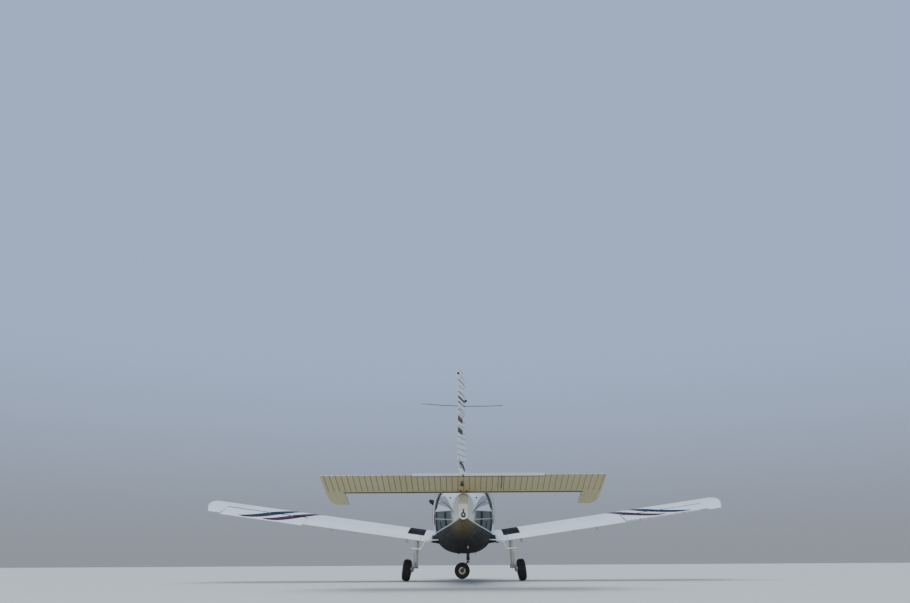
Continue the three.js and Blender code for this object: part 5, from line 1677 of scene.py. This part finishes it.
def window(table, corners, radius, side=1):
    """Rounds (station, angle) corners evenly on the skin, where a radian is about seven tenths of a metre."""
    loop = round_loop([(s, a * AROUND) for s, a in corners], radius, sides=9)
    angle = loop[:, 1] / AROUND
    return np.stack([loop[:, 0], angle if side > 0 else pi - angle], 1)


class AIRCRAFT_OT_cabin(bpy.types.Operator):
    """Make the tub with its root fillets, the windscreen, the sliding hood and the rear shell, with their panes"""

    bl_idname = "aircraft.cabin"
    bl_label = "Cabin"

    def execute(self, context):
        given = context.scene.aircraft_cabin
        self.tub(given)
        self.screen(given)
        self.hood(given)
        self.rear(given)
        return {"FINISHED"}

    def glaze(self, given, frame_obj, table, loops, names, body):
        """Cuts each window out of its frame, then fills it with a thin pane and a rubber seal."""
        seals = Shape()
        for loop, (name, node) in zip(loops, names):
            carved(frame_obj, patch(Shape(), table, loop, -0.03, 0.06))
            pane = patch(Shape(), table, loop, 0.006, 0.0115, 16)
            piece(name, pane, "glass", body, [node])
            seal(seals, table, loop, given.seal, 0.001)
        return seals

    def tub(self, given):
        s = np.concatenate(
            [np.linspace(1.3304, 1.508, 8), np.linspace(1.52, 1.955, 18), np.linspace(1.98, 3.3448, 40)]
        )
        top = angle_of(CABIN, s, np.where(s < 1.955, foot(s), sill(s)))
        shape = Shape()
        body_wall(shape, CABIN, s, pi - top, 2 * pi + top, given.wall, 96)
        for _, side in SIDES:
            self.fillet(shape, side)
        piece("cabin_shell", shape, "body", "airframe", ["cabin_tub"])
        floor = Shape()
        s = np.linspace(1.36, 3.34, 24)
        half = on_body(CABIN, s, angle_of(CABIN, s, FLOOR_Z - 0.02), given.wall)[:, 0] + 0.004
        across = half[:, None] * np.linspace(-1, 1, 12)
        upper = grid(across, y_of(s)[:, None], FLOOR_Z)
        slab(floor, upper, upper - (0, 0, 0.028))
        piece("cabin_carpet", floor, "carpet", "airframe")
        lining = Shape()
        s = np.linspace(1.97, 3.34, 30)
        top = angle_of(CABIN, s, sill(s) - 0.01)
        low = angle_of(CABIN, s, FLOOR_Z + 0.004)
        for _, side in SIDES:
            start, end = (low, top) if side > 0 else (pi - low, pi - top)
            angle = start[:, None] + (end - start)[:, None] * np.linspace(0, 1, 14)
            faces = [on_body(CABIN, s[:, None], angle, given.wall + depth) for depth in (0.0005, 0.006)]
            slab(lining, *faces)
        piece("cabin_lining", lining, "lining", "airframe")

    def fillet(self, shape, side):
        """The wing's root rib grows thicker and higher towards the body's side, on eased curves."""
        t = np.linspace(0, 1, 14)
        ring = np.concatenate([skin(0, CHORD, 1, 40), skin(CHORD, 0, -1, 40)[1:]])
        span = -0.0004 - 0.2096 * t[:, None]
        thick = 1 + 0.25 * t[:, None] ** 1.1
        lift = 0.092 * 0.6 * t[:, None] ** 1.4
        aft = 1 - ring[:, 0] / CHORD
        y = ring[:, 0] - 0.04 * (thick - 1) * aft
        z = ring[:, 1] * thick + np.where(ring[:, 1] > 0, lift, 0)
        rings = wing_place(grid(span, y, z), side)
        shape.add(rings, tube(rings))

    def screen(self, given):
        s = np.concatenate([np.linspace(1.513, 1.60, 10), np.linspace(1.62, 1.9516, 24)])
        top = angle_of(CABIN, s, foot(s) + 0.0006)
        shape = Shape()
        body_wall(shape, CABIN, s, top, pi - top, given.skin, 80)
        obj = piece("windscreen_surround", shape, "body", "airframe", ["windscreen_frame"])
        right = [(s, float(angle_of(CABIN, s, foot(s) + 0.048))) for s in (1.908, 1.74, 1.605)]
        left = [(s, pi - a) for s, a in reversed(right)]
        loop = window(CABIN, [*right, (1.566, HALF_TURN), *left], 0.035)
        seals = self.glaze(given, obj, CABIN, [loop], [("windscreen_pane", "windscreen_glass")], "airframe")
        self.arch(seals, CABIN, 1.9535, 0.006)
        piece("windscreen_seal", seals, "rubber")

    def arch(self, shape, table, s, radius):
        """A bead over the top of the body from sill to sill."""
        low = float(angle_of(table, s, sill(s) + 0.012))
        sweep(shape, on_body(table, s, np.linspace(low, pi - low, 60)), radius, 8, up=(0, 1, 0))

    def hood(self, given):
        s = np.linspace(1.9586, 3.3376, 56)
        low = angle_of(HOOD, s, sill(s) + 0.0085)
        shape = Shape()
        body_wall(shape, HOOD, s, low, pi - low, given.skin, 110)
        obj = piece("hood_frame", shape, "hood", "canopy", ["canopy_frame"])
        loops, names = [], []
        for label, side in SIDES:
            for where, front, rear in HOOD_PANES:
                corners = [(s, float(angle_of(HOOD, s, sill(s) + 0.19))) for s in (front, rear)]
                corners += [(s, float(angle_at(HOOD, s, 0.13))) for s in (rear, front)]
                loops.append(window(HOOD, corners, given.corner, side))
                names.append((f"hood_pane_{label}_{where}", f"canopy_glass_{label}_{where}"))
        seals = self.glaze(given, obj, HOOD, loops, names, "canopy")
        self.arch(seals, HOOD, 3.3345, 0.004)
        piece("hood_seals", seals, "rubber", "canopy")
        fittings = Shape()
        bends = ((-0.09, 1.8), (-0.07, 1.765), (0.07, 1.765), (0.09, 1.8))
        grip = rounded([(x, y_of(2.05), z) for x, z in bends], 0.3)
        sweep(fittings, grip, 0.009, 12, up=(0, 1, 0))
        piece("hood_handle", fittings, "black", "canopy")

    def rear(self, given):
        s = np.linspace(3.3458, 3.9496, 28)
        shape = Shape()
        full = np.zeros(28)
        body_wall(shape, REAR, s, full - HALF_TURN, full + 3 * HALF_TURN, given.skin, 110)
        obj = piece("rear_cabin_shell", shape, "body", "airframe", ["rear_cabin"])
        loops, names = [], []
        for label, side in SIDES:
            loops.append(side_loop(REAR, REAR_PANE, 0.05, side))
            names.append((f"rear_pane_{label}", f"rear_window_{label}"))
        seals = self.glaze(given, obj, REAR, loops, names, "airframe")
        piece("rear_cabin_seals", seals, "rubber")
        wall = Shape()
        angle = circle(72)
        steps = ((3.926, 0.024), (3.9265, 0.021), (3.948, 0.021))
        rings = np.array([on_body(REAR, s, angle, inset) for s, inset in steps])
        wall.add(rings, tube(rings))
        piece("rear_cabin_bulkhead", wall, "lining", "airframe")


# Landing gear
MAIN = {"s": 2.600, "x": 1.062, "z": 0.1915, "tyre": 0.190, "half": 0.074, "rim": 0.092, "camber": radians(6.5)}
NOSE = {"s": 0.760, "x": 0.082, "trail": 0.126, "tyre": 0.162, "half": 0.058, "rim": 0.070}

# Places of a tyre's grooves as shares of half its width
GROOVES = (-0.30, 0.0, 0.30)
# Half the width of the nose fork and of its axle
FORK_HALF, AXLE_HALF = 0.078, 0.090


class AircraftGear(bpy.types.PropertyGroup):
    """Grooves and fittings of the wheels."""

    groove_depth: length_prop("Groove depth", "Of the tread", 0.005)
    groove_half: length_prop("Groove half width", "Of the tread", 0.003)
    bolts: bpy.props.IntProperty(name="Rim bolts", description="Bolts round each rim", default=6, min=3)


class AIRCRAFT_OT_gear(bpy.types.Operator):
    """Make the main legs and arms, the nose leg and fork, the wheels and the boarding steps"""

    bl_idname = "aircraft.gear"
    bl_label = "Landing gear"

    def execute(self, context):
        given = context.scene.aircraft_gear
        for label, side in SIDES:
            self.main_leg(label, side)
            hub = np.array((MAIN["x"] * side, y_of(MAIN["s"]), MAIN["z"]))
            axis = (side * cos(MAIN["camber"]), 0, sin(MAIN["camber"]))
            self.wheel(given, f"main_{label}", f"main_wheel_{label}", hub, axis, MAIN)
            self.step(label, side)
        hub = np.array((NOSE["x"] - NOSE["trail"], y_of(NOSE["s"]), NOSE["tyre"]))
        self.wheel(given, "nose", "nose_wheel", hub, (0, -1, 0), NOSE)
        self.nose_leg(hub)
        return {"FINISHED"}

    def rod(self, shape, a, b, radius, sides=20, edge=0.003):
        """A round bar with softened ends."""
        a, b = np.asarray(a, float), np.asarray(b, float)
        length = float(np.linalg.norm(b - a))
        profile = [(0, 0), (radius - edge, 0), (radius, edge)]
        profile += [(radius, length - edge), (radius - edge, length), (0, length)]
        return lathe(shape, profile, a, b - a, sides)

    def main_leg(self, label, side):
        def p(x, s, z):
            return np.array((x * side, y_of(s), z))

        def strut(z):
            return p(0.905, 2.560, z)

        pivot = 2.330
        leg = Shape()
        path = [p(0.885, pivot, 0.745), p(0.893, pivot, 0.55), p(0.905, pivot, 0.250)]
        sweep(leg, path, [0.038, 0.035, 0.030], 24, flat=0.8, up=(0, 1, 0))
        self.rod(leg, p(0.866, pivot, 0.250), p(0.944, pivot, 0.250), 0.034)
        self.rod(leg, p(0.885, 2.590, 0.735), strut(0.505), 0.024)
        self.rod(leg, p(0.889, pivot, 0.640), p(0.887, 2.590, 0.700), 0.014, sides=14)
        self.rod(leg, strut(0.505), strut(0.330), 0.0150, sides=18)
        self.rod(leg, strut(0.500), strut(0.486), 0.028, edge=0.002)
        piece(f"main_leg_tube_{label}", leg, "leg", "airframe", [f"main_leg_{label}"])
        arm = Shape()
        path = rounded([p(0.958, 2.338, 0.250), p(0.958, 2.390, 0.244), p(0.958, 2.612, 0.184)], 0.3)
        sweep(arm, path, [0.024] * 6 + [0.026], 20, up=(1, 0, 0))
        self.rod(arm, p(0.9455, pivot, 0.250), p(0.9755, pivot, 0.250), 0.030)
        self.rod(arm, strut(0.288), strut(0.3295), 0.022)
        self.rod(arm, strut(0.312), p(0.958, 2.560, 0.196), 0.016, sides=16)
        hub = p(MAIN["x"], MAIN["s"], MAIN["z"])
        along = np.array((side * cos(MAIN["camber"]), 0, sin(MAIN["camber"])))
        self.rod(arm, hub - along * 0.118, hub + along * 0.060, 0.0235)
        piece(f"main_arm_forging_{label}", arm, "arm", "airframe", [f"main_arm_{label}"])
        brake = Shape()
        disc = [
            (0.030, -0.088), (0.078, -0.088), (0.080, -0.086), (0.080, -0.080), (0.078, -0.078), (0.030, -0.078)
        ]
        lathe(brake, disc, hub, along, 40)
        caliper = round_loop([(-0.028, -0.030), (0.028, -0.030), (0.024, 0.026), (-0.024, 0.026)], 0.010)
        flat = np.insert(caliper, 0, 0.0, axis=1)
        # Columns: place along the axle, share of the size
        steps = ((-0.104, 0.9), (-0.100, 1.0), (-0.066, 1.0), (-0.062, 0.9))
        rings = np.array([hub + along * depth + (0, -0.062, 0.040) + flat * share for depth, share in steps])
        brake.add(rings, tube(rings))
        piece(f"main_brake_{label}", brake, "steel")
        route = [hub + along * -0.09 + (0, -0.045, 0.06), p(0.935, 2.56, 0.36), p(0.925, 2.50, 0.52)]
        hose = rounded([*route, p(0.900, 2.40, 0.70)], 0.4, 9)
        line = Shape()
        sweep(line, hose, 0.0030, 8, up=(1, 0, 0))
        piece(f"main_brake_line_{label}", line, "rubber")

    def wheel(self, given, name, body, hub, axis, size):
        """The tyre's profile is a rounded carcass with three grooves; the rim is a dished pair of halves."""
        r, half, rim = size["tyre"], size["half"], size["rim"]
        turn = np.linspace(-1, 1, 97)
        bulge = np.abs(turn)
        radius = rim + 0.004 + (r - rim - 0.004) * np.clip(1 - bulge**3.2, 0, 1) ** 0.62
        tread = (np.minimum(bulge, 0.72) / 0.72) ** 0.95 * 0.86
        wall = 0.14 * np.sin(np.clip((bulge - 0.72) / 0.28, 0, 1) * 2.6) - 0.10 * smooth((bulge - 0.9) / 0.1)
        width = half * np.sign(turn) * (tread + wall)
        for centre in GROOVES:
            near = np.abs(width / half - centre) * half
            groove = smooth(1 - (near - given.groove_half * 0.5) / (given.groove_half))
            radius -= given.groove_depth * groove * (radius > r - 0.03)
        profile = np.stack([radius, width], 1)
        bead = [(rim + 0.0015, width[-1] * 0.97), (rim + 0.0015, -width[-1] * 0.97)]
        shape = Shape()
        lathe(shape, np.concatenate([profile, bead]), hub, axis, 72)
        piece(f"{name}_tyre_carcass", shape, "tyre", body, [f"{name}_tyre"])
        w = half * 0.74
        dish = [(0.028, half * 0.60), (0.046, half * 0.60), (0.052, half * 0.50), (rim - 0.022, half * 0.32)]
        dish += [(rim - 0.014, half * 0.36), (rim - 0.010, w - 0.004), (rim - 0.006, w), (rim + 0.001, w)]
        shape = Shape()
        lathe(shape, [(radius, -width) for radius, width in dish] + dish[::-1], hub, axis, 56)
        axis = np.asarray(Vector(axis).normalized())
        across = np.asarray(Vector(axis).orthogonal().normalized())
        other = np.cross(axis, across)
        for angle in circle(given.bolts):
            spot = hub + (cos(angle) * across + sin(angle) * other) * (rim * 0.62)
            for face in (-1, 1):
                screw(shape, spot + axis * face * half * 0.43, axis * face, 0.0065, 0.009, 6)
        screw(
            shape, hub + (across * 0.8 + other * 0.6) * (rim - 0.013) + axis * half * 0.34,
            axis * 0.8 - across * 0.3, 0.0035, 0.022, 10,
        )
        piece(f"{name}_rim_halves", shape, "rim", body, [f"{name}_rim"])
        cap = Shape()
        for face in (-1, 1):
            if name != "nose" and face * np.sign(hub[0]) * np.sign(axis[0]) < 0:
                continue
            start = half * 0.55
            wide = 0.040 if name == "nose" else 0.030
            profile = [(0, start), (wide - 0.0015, start), (wide, start + 0.006), (wide - 0.006, start + 0.016)]
            lathe(cap, profile + [(0.010, start + 0.019), (0, start + 0.0195)], hub, axis * face, 32)
        piece(f"{name}_hub_cap", cap, "black" if name == "nose" else "steel", body)

    def nose_leg(self, hub):
        def p(x, s, z):
            return np.array((x, y_of(s), z))

        x, s = NOSE["x"], NOSE["s"]
        leg = Shape()
        self.rod(leg, p(x, s, 0.640), p(x, s, 0.420), 0.034, sides=32)
        self.rod(leg, p(x, s, 0.432), p(x, s, 0.418), 0.038, sides=32)
        self.rod(leg, p(x, s, 0.425), p(x, s, 0.360), 0.026, sides=32)
        self.rod(leg, p(x, s - 0.010, 0.600), p(x, s + 0.330, 0.640), 0.016)
        piece("nose_leg_tube", leg, "black_paint", "airframe", ["nose_leg"])
        # Two pale lugs beside the top of the leg, which stand for glints on it: painted highlights
        glint_lugs = Shape()
        for end in (-1, 1):
            self.rod(glint_lugs, p(x + end * 0.038, s + 0.016, 0.505), p(x + end * 0.036, s + 0.016, 0.438), 0.010)
        piece("nose_leg_glint_lugs", glint_lugs, "step", "airframe")
        boot = Shape()
        ridge = np.linspace(0, 1, 57)
        folds = 0.0315 + 0.006 * np.abs(np.sin(ridge * pi * 5)) ** 0.7
        profile = [(0.0265, 0.0), *[(r, 0.002 + 0.054 * t) for r, t in zip(folds, ridge)], (0.0265, 0.058)]
        lathe(boot, profile, p(x, s, 0.361), (0, 0, 1), 36)
        piece("nose_leg_boot", boot, "rubber", "airframe")
        fork = Shape()
        top = NOSE["tyre"] * 2 + 0.014
        for end in (-1, 1):
            near = s + end * FORK_HALF
            path = rounded([p(x - 0.010, s, top), p(x - 0.010, near, top), p(hub[0], near, hub[2])], 0.22, 8)
            sweep(fork, path, np.linspace(0.017, 0.014, len(path)), 16, up=(1, 0, 0.3))
            self.rod(fork, p(hub[0], near - 0.010, hub[2]), p(hub[0], near + 0.010, hub[2]), 0.025, sides=24)
        self.rod(fork, p(x, s, 0.352), p(x, s, top - 0.022), 0.030, sides=28)
        self.rod(fork, p(hub[0], s - AXLE_HALF, hub[2]), p(hub[0], s + AXLE_HALF, hub[2]), 0.017)
        for end in (-1, 1):
            screw(fork, p(hub[0], s + end * AXLE_HALF, hub[2]), (0, -end, 0), 0.014, 0.006, 6)
        piece("nose_fork_tube", fork, "black_paint", "nose_fork", ["nose_fork"])

    def step(self, label, side):
        points = [(0.430, 0.700), (0.680, 0.684), (0.764, 0.542), (0.935, 0.556)]
        path = rounded([(x * side, y_of(3.3), z) for x, z in points], 0.07, 7)
        shape = Shape()
        sweep(shape, path, 0.0108, 14, up=(0, 1, 0))
        piece(f"step_bar_{label}", shape, "step", "airframe", [f"step_{label}"])


# Cockpit
class AircraftCockpit(bpy.types.PropertyGroup):
    """Upholstery and instruments."""

    channels: bpy.props.IntProperty(
        name="Channels", description="Sewn channels across a cushion", default=5, min=1
    )
    channel_depth: length_prop("Channel depth", "Of a seam", 0.009)


class AIRCRAFT_OT_cockpit(bpy.types.Operator):
    """Make the instrument panel, the sticks, the front seats and the rear bench"""

    bl_idname = "aircraft.cockpit"
    bl_label = "Cockpit"

    def execute(self, context):
        given = context.scene.aircraft_cockpit
        self.panel()
        self.sticks()
        for label, side in SIDES:
            x = 0.235 * side
            self.seat(
                given, f"seat_{label}", x, 0.183, (2.195, 2.615, 0.788), ((2.590, 0.755), (2.757, 1.335), 0.046)
            )
        self.seat(given, "rear_bench", 0.0, 0.375, (2.905, 3.245, 0.798), ((3.215, 0.745), (3.297, 1.292), 0.030))
        return {"FINISHED"}

    def panel(self):
        """A face that follows the body's section, a hooded shield over it, dials in rings and a stack of boxes."""
        s = np.array([1.562, 1.566, 1.616, 1.620])
        low = float(angle_of(CABIN, 1.59, 1.132))
        angle = np.concatenate([np.linspace(low, 1.05, 14), np.linspace(pi - 1.05, pi - low, 14)])
        rings = np.array([on_body(CABIN, a, angle, b) for a, b in zip(s, (0.048, 0.0405, 0.0405, 0.048))])
        rings[..., 2] = np.minimum(rings[..., 2], 1.438)
        shape = Shape().add(rings, tube(rings))
        piece("panel_face", shape, "panel", "airframe", ["instrument_panel"])
        shield = Shape()
        t = np.linspace(0, 1, 30)
        across = 0.455 * (2 * t - 1)
        arch = 1.452 + 0.030 * (1 - (2 * t - 1) ** 2) - 0.05 * (2 * t - 1) ** 6
        # Columns: station, share of the width, height over the arch
        steps = (
            (1.53, 1, -0.006), (1.60, 1, 0.0), (1.66, 1, 0.004), (1.690, 0.985, -0.004), (1.698, 0.985, -0.016)
        )
        rows = np.array([grid(across * wide, y_of(s), arch + rise) for s, wide, rise in steps])
        slab(shield, rows, rows - (0, 0.0, 0.012))
        piece("panel_shield", shield, "black_soft", "airframe")
        dials, faces, marks, boxes, keys = (Shape() for _ in range(5))
        face, aft = y_of(1.6195), (0, -1, 0)
        spots = [(-0.33 + 0.098 * i, 1.355 - 0.098 * j, 0.041) for j in range(2) for i in range(3)]
        spots += [(0.19 + 0.075 * i, 1.36 - 0.078 * j, 0.031) for j in range(3) for i in range(3)]
        for x, z, r in spots:
            rim = [(r, 0.0), (r, 0.008), (r - 0.003, 0.010), (r - 0.006, 0.008), (r - 0.006, 0.0)]
            lathe(dials, rim, (x, face, z), aft, 32)
            disc = [(0, 0.0), (r - 0.0062, 0.0), (r - 0.0062, 0.003), (0, 0.003)]
            lathe(faces, disc, (x, face, z), aft, 28)
            for a in circle(12):
                bar = [(x + r * q * sin(a), face - 0.0034, z + r * q * cos(a)) for q in (0.62, 0.76)]
                sweep(marks, bar, 0.0009, 4, up=(0, 1, 0))
            tip = 0.9 + 2.1 * ((x * 7.3 + z * 3.1) % 1)
            needle = [(x + r * q * sin(tip), face - 0.0045, z + r * q * cos(tip)) for q in (0, 0.62)]
            sweep(marks, needle, [0.0018, 0.0006], 6, up=(0, 1, 0))
        piece("panel_dial_rings", dials, "black", "airframe")
        piece("panel_dial_faces", faces, "dial", "airframe")
        piece("panel_dial_marks", marks, "white_trim", "airframe")
        for j in range(4):
            z = 1.375 - 0.058 * j
            block = round_loop(
                [(-0.050, z - 0.024), (0.112, z - 0.024), (0.112, z + 0.024), (-0.050, z + 0.024)], 0.005
            )
            boxes.plate(block, "y", (y_of(1.615), y_of(1.628)))
            for x in (-0.036, 0.098):
                self.knob(keys, 0.009, 0.008, 0.014, (x, y_of(1.628), z), 18)
            for i in range(5):
                self.knob(keys, 0.0045, 0.004, 0.004, (-0.008 + 0.018 * i, y_of(1.628), z - 0.013), 10)
        for i in range(9):
            self.knob(keys, 0.006, 0.005, 0.016, (-0.37 + 0.036 * i, face, 1.165), 12)
        piece("panel_radio_boxes", boxes, "black", "airframe")
        piece("panel_knobs", keys, "black_paint", "airframe")

    def knob(self, shape, foot, top, length, place, sides):
        """A short cone that stands out aft."""
        lathe(shape, [(0, 0), (foot, 0), (top, length), (0, length)], place, (0, -1, 0), sides)

    def sticks(self):
        shape, grips = Shape(), Shape()
        z = FLOOR_Z
        for x in (-0.240, 0.240):
            path = rounded(
                [(x, y_of(2.010), z + 0.014), (x, y_of(1.960), 0.840), (x, y_of(1.995), 0.975)], 0.35, 9
            )
            sweep(shape, path, 0.011, 14, up=(1, 0, 0))
            gaiter = [
                (x + a, y_of(s)) for a, s in ((-0.030, 2.035), (0.030, 2.035), (0.030, 1.985), (-0.030, 1.985))
            ]
            shape.plate(round_loop(gaiter, 0.01), "z", (z + 0.001, z + 0.024, z + 0.026))
            waist = [(0.015, 0.002), (0.017, 0.02), (0.014, 0.04), (0.016, 0.06), (0.014, 0.08), (0.018, 0.10)]
            lathe(
                grips, [(0, 0), *waist, (0.017, 0.118), (0.010, 0.126), (0, 0.128)], (x, y_of(1.973), 0.886),
                (0, -0.22, 1), 24,
            )
        sweep(shape, [(-0.240, y_of(2.008), z + 0.022), (0.240, y_of(2.008), z + 0.022)], 0.010, 14, up=(0, 1, 0))
        piece("stick_tubes", shape, "black_paint", "airframe", ["control_sticks"])
        piece("stick_grips", grips, "rubber")

    def cushion(self, given, shape, centre, half, crown, turn):
        """A superellipse section, narrowed towards both sides, crowned on top and drawn in at its seams."""
        u = np.sin(np.linspace(-0.985, 0.985, 46) * HALF_TURN)
        narrow = np.maximum(1 - np.abs(u) ** 7, 0.02) ** (1 / 7)
        a = circle(88)
        power = 2 / 5.5
        y, z = powered(np.cos(a), power), powered(np.sin(a), power)
        sag = 1 - 0.035 * (1 - u**2)[:, None] * (np.abs(y) > 0.9)
        top = (z > 0.2) * (1 - y**4)
        bulge = crown * (1 - u[:, None] ** 2) ** 0.6 * top
        place = (y + 1) / 2 * given.channels
        near = np.abs(place - np.round(place)) / given.channels * 2 * half[1]
        inside = (np.round(place) > 0.5) & (np.round(place) < given.channels - 0.5)
        groove = given.channel_depth * np.exp(-((near / 0.006) ** 2)) * inside * top
        border = np.abs(np.abs(u)[:, None] * half[0] - (half[0] - 0.045))
        edge = given.channel_depth * 0.8 * np.exp(-((border / 0.006) ** 2)) * top
        rise = z * half[2] * narrow[:, None] + bulge - groove - edge
        points = turned(grid(u[:, None] * half[0], y * half[1] * narrow[:, None] * sag, rise), centre, ("x", turn))
        return shape.add(points, tube(points))

    def seat(self, given, name, x, half, base, back):
        """Base: front station, rear station, top. Back: lower end, upper end, thickness."""
        front, rear, high = base
        shape = Shape()
        centre = (x, y_of((front + rear) / 2), high - 0.062)
        self.cushion(given, shape, centre, (half, (rear - front) / 2 - 0.004, 0.050), 0.010, radians(3))
        (s0, z0), (s1, z1), thick = back
        lean = atan2(s1 - s0, z1 - z0)
        length = float(np.hypot(s1 - s0, z1 - z0)) / 2
        middle = (x, y_of((s0 + s1) / 2), (z0 + z1) / 2)
        self.cushion(
            given, shape, middle, (half - 0.006, length - 0.004, thick * 0.72), 0.010, lean - HALF_TURN + pi
        )
        obj = piece(f"{name}_cushions", shape, "cushion", "airframe", [name], sharp=60)
        frame_shape = Shape()
        for side in (-1, 1):
            foot_x = x + side * (half - 0.04)
            for s in (front + 0.05, rear - 0.05):
                leg = [(foot_x, y_of(s), z) for z in (FLOOR_Z + 0.004, high - 0.10)]
                sweep(frame_shape, leg, 0.011, 12, up=(0, 1, 0))
            rail = [(foot_x, y_of(s), FLOOR_Z + 0.010) for s in (front + 0.01, rear - 0.01)]
            sweep(frame_shape, rail, 0.009, 10)
        piece(f"{name}_frame", frame_shape, "steel")


# Stage
class AircraftStage(bpy.types.PropertyGroup):
    """The camera of the picture and the soft studio."""

    eye: bpy.props.FloatVectorProperty(
        name="Eye", description="Where the camera stands", default=(0.012, -12.5065, 0.30), subtype="TRANSLATION"
    )
    yaw: angle_prop("Yaw", "Turn to the right", -0.65)
    pitch: angle_prop("Pitch", "Look upwards", 21.08)
    roll: angle_prop("Roll", "Lean to the right", -0.33)
    lens: bpy.props.FloatProperty(name="Lens", description="Focal length on a 36 mm wide sensor", default=26.9)
    floor: colour_prop("Floor", "Colour of the floor", (0.62, 0.58, 0.50))
    sky: colour_prop("Sky", "Cool light from above", (0.46, 0.60, 0.90))
    horizon: colour_prop("Horizon", "Cool grey light at the horizon", (0.34, 0.37, 0.43))


class AIRCRAFT_OT_stage(bpy.types.Operator):
    """Make the camera, the pale floor and the soft light"""

    bl_idname = "aircraft.stage"
    bl_label = "Stage"

    def execute(self, context):
        given = context.scene.aircraft_stage
        self.camera(context, given)
        self.floor(context, given)
        self.world(context, given)
        self.lamps(context)
        return {"FINISHED"}

    def camera(self, context, given):
        data = bpy.data.cameras.new("picture_camera")
        data.lens = given.lens
        data.sensor_width = 36
        data.clip_end = 400
        made = bpy.data.objects.new("picture_camera", data)
        ahead = Vector((sin(given.yaw) * cos(given.pitch), cos(given.yaw) * cos(given.pitch), sin(given.pitch)))
        level = Vector((cos(given.yaw), -sin(given.yaw), 0))
        rise = level.cross(ahead)
        right = cos(given.roll) * level + sin(given.roll) * rise
        up = cos(given.roll) * rise - sin(given.roll) * level
        made.matrix_world = Matrix.Translation(given.eye) @ Matrix((right, up, -ahead)).transposed().to_4x4()
        context.scene.collection.objects.link(made)
        context.scene.camera = made

    def floor(self, context, given):
        """A pale floor far wider than the aircraft."""
        reach = 120.0
        mesh = bpy.data.meshes.new("floor")
        mesh.from_pydata(
            [(-reach, -reach, 0), (reach, -reach, 0), (reach, reach, 0), (-reach, reach, 0)], [], [(0, 1, 2, 3)]
        )
        finish = Finish("Pale floor", given.floor, 0.8)
        blotch = finish.noise(0.6, 5, 0.6)
        tint = [channel * 0.93 for channel in given.floor]
        finish.set(Base_Color=finish.mix(blotch, tint, given.floor))
        mesh.materials.append(finish.material)
        made = bpy.data.objects.new("floor", mesh)
        context.scene.collection.objects.link(made)

    def world(self, context, given):
        """Grey at the horizon, bluer and lighter with height."""
        made = bpy.data.worlds.new("Studio")
        made.use_nodes = True
        g = Graph(made.node_tree)
        height = g.between(g.split(g.node("ShaderNodeTexCoord", out="Generated"))[2], 0.0, 0.30)
        backdrop = g.tree.nodes["Background"]
        g.plug(backdrop.inputs["Color"], g.mix(height, given.horizon, given.sky))
        backdrop.inputs["Strength"].default_value = 0.88
        context.scene.world = made

    def lamps(self, context):
        """Soft light. Columns: name, place, aim, width or angle, height, power, colour"""
        table = [
            ("overhead", (-1.5, 3, 16), (0, 0, 0.5), radians(60), 0, 2.5, (0.80, 0.90, 1.0)),
            ("warm_low", (-3, -19, 2.6), (0, -2, 1.4), 9, 4, 520, (1.0, 0.84, 0.64)),
        ]
        for name, place, aim, width, height, power, colour in table:
            data = bpy.data.lights.new(name, "AREA" if height else "SUN")
            if height:
                data.shape = "RECTANGLE"
                data.size, data.size_y = width, height
            else:
                data.angle = width
            data.energy = power
            data.color = colour
            made = bpy.data.objects.new(name, data)
            made.location = place
            made.rotation_euler = (Vector(aim) - Vector(place)).to_track_quat("-Z", "Y").to_euler()
            context.scene.collection.objects.link(made)


STEPS = {
    "finishes": (AIRCRAFT_OT_finishes, AircraftPaint),
    "power": (AIRCRAFT_OT_power, AircraftPower),
    "cabin": (AIRCRAFT_OT_cabin, AircraftCabin),
    "cockpit": (AIRCRAFT_OT_cockpit, AircraftCockpit),
    "wings": (AIRCRAFT_OT_wings, AircraftWings),
    "tail": (AIRCRAFT_OT_tail, AircraftTail),
    "gear": (AIRCRAFT_OT_gear, AircraftGear),
    "stage": (AIRCRAFT_OT_stage, AircraftStage),
}


class AIRCRAFT_PT_panel(bpy.types.Panel):
    """Every step with its sizes and colours"""

    bl_idname = "AIRCRAFT_PT_panel"
    bl_label = "Aircraft"
    bl_space_type = "VIEW_3D"
    bl_region_type = "UI"
    bl_category = "Aircraft"

    def draw(self, context):
        for step, (_, values) in STEPS.items():
            box = self.layout.box()
            box.operator(f"aircraft.{step}")
            for name in values.__annotations__:
                box.prop(getattr(context.scene, f"aircraft_{step}"), name)


CLASSES = [made for pair in STEPS.values() for made in pair] + [AIRCRAFT_PT_panel]


def register():
    for made in CLASSES:
        bpy.utils.register_class(made)
    for step, (_, values) in STEPS.items():
        setattr(bpy.types.Scene, f"aircraft_{step}", bpy.props.PointerProperty(type=values))


def unregister():
    for step in STEPS:
        delattr(bpy.types.Scene, f"aircraft_{step}")
    for made in reversed(CLASSES):
        bpy.utils.unregister_class(made)


def main():
    register()
    for step in STEPS:
        getattr(bpy.ops.aircraft, step)()


if __name__ == "__main__":
    main()
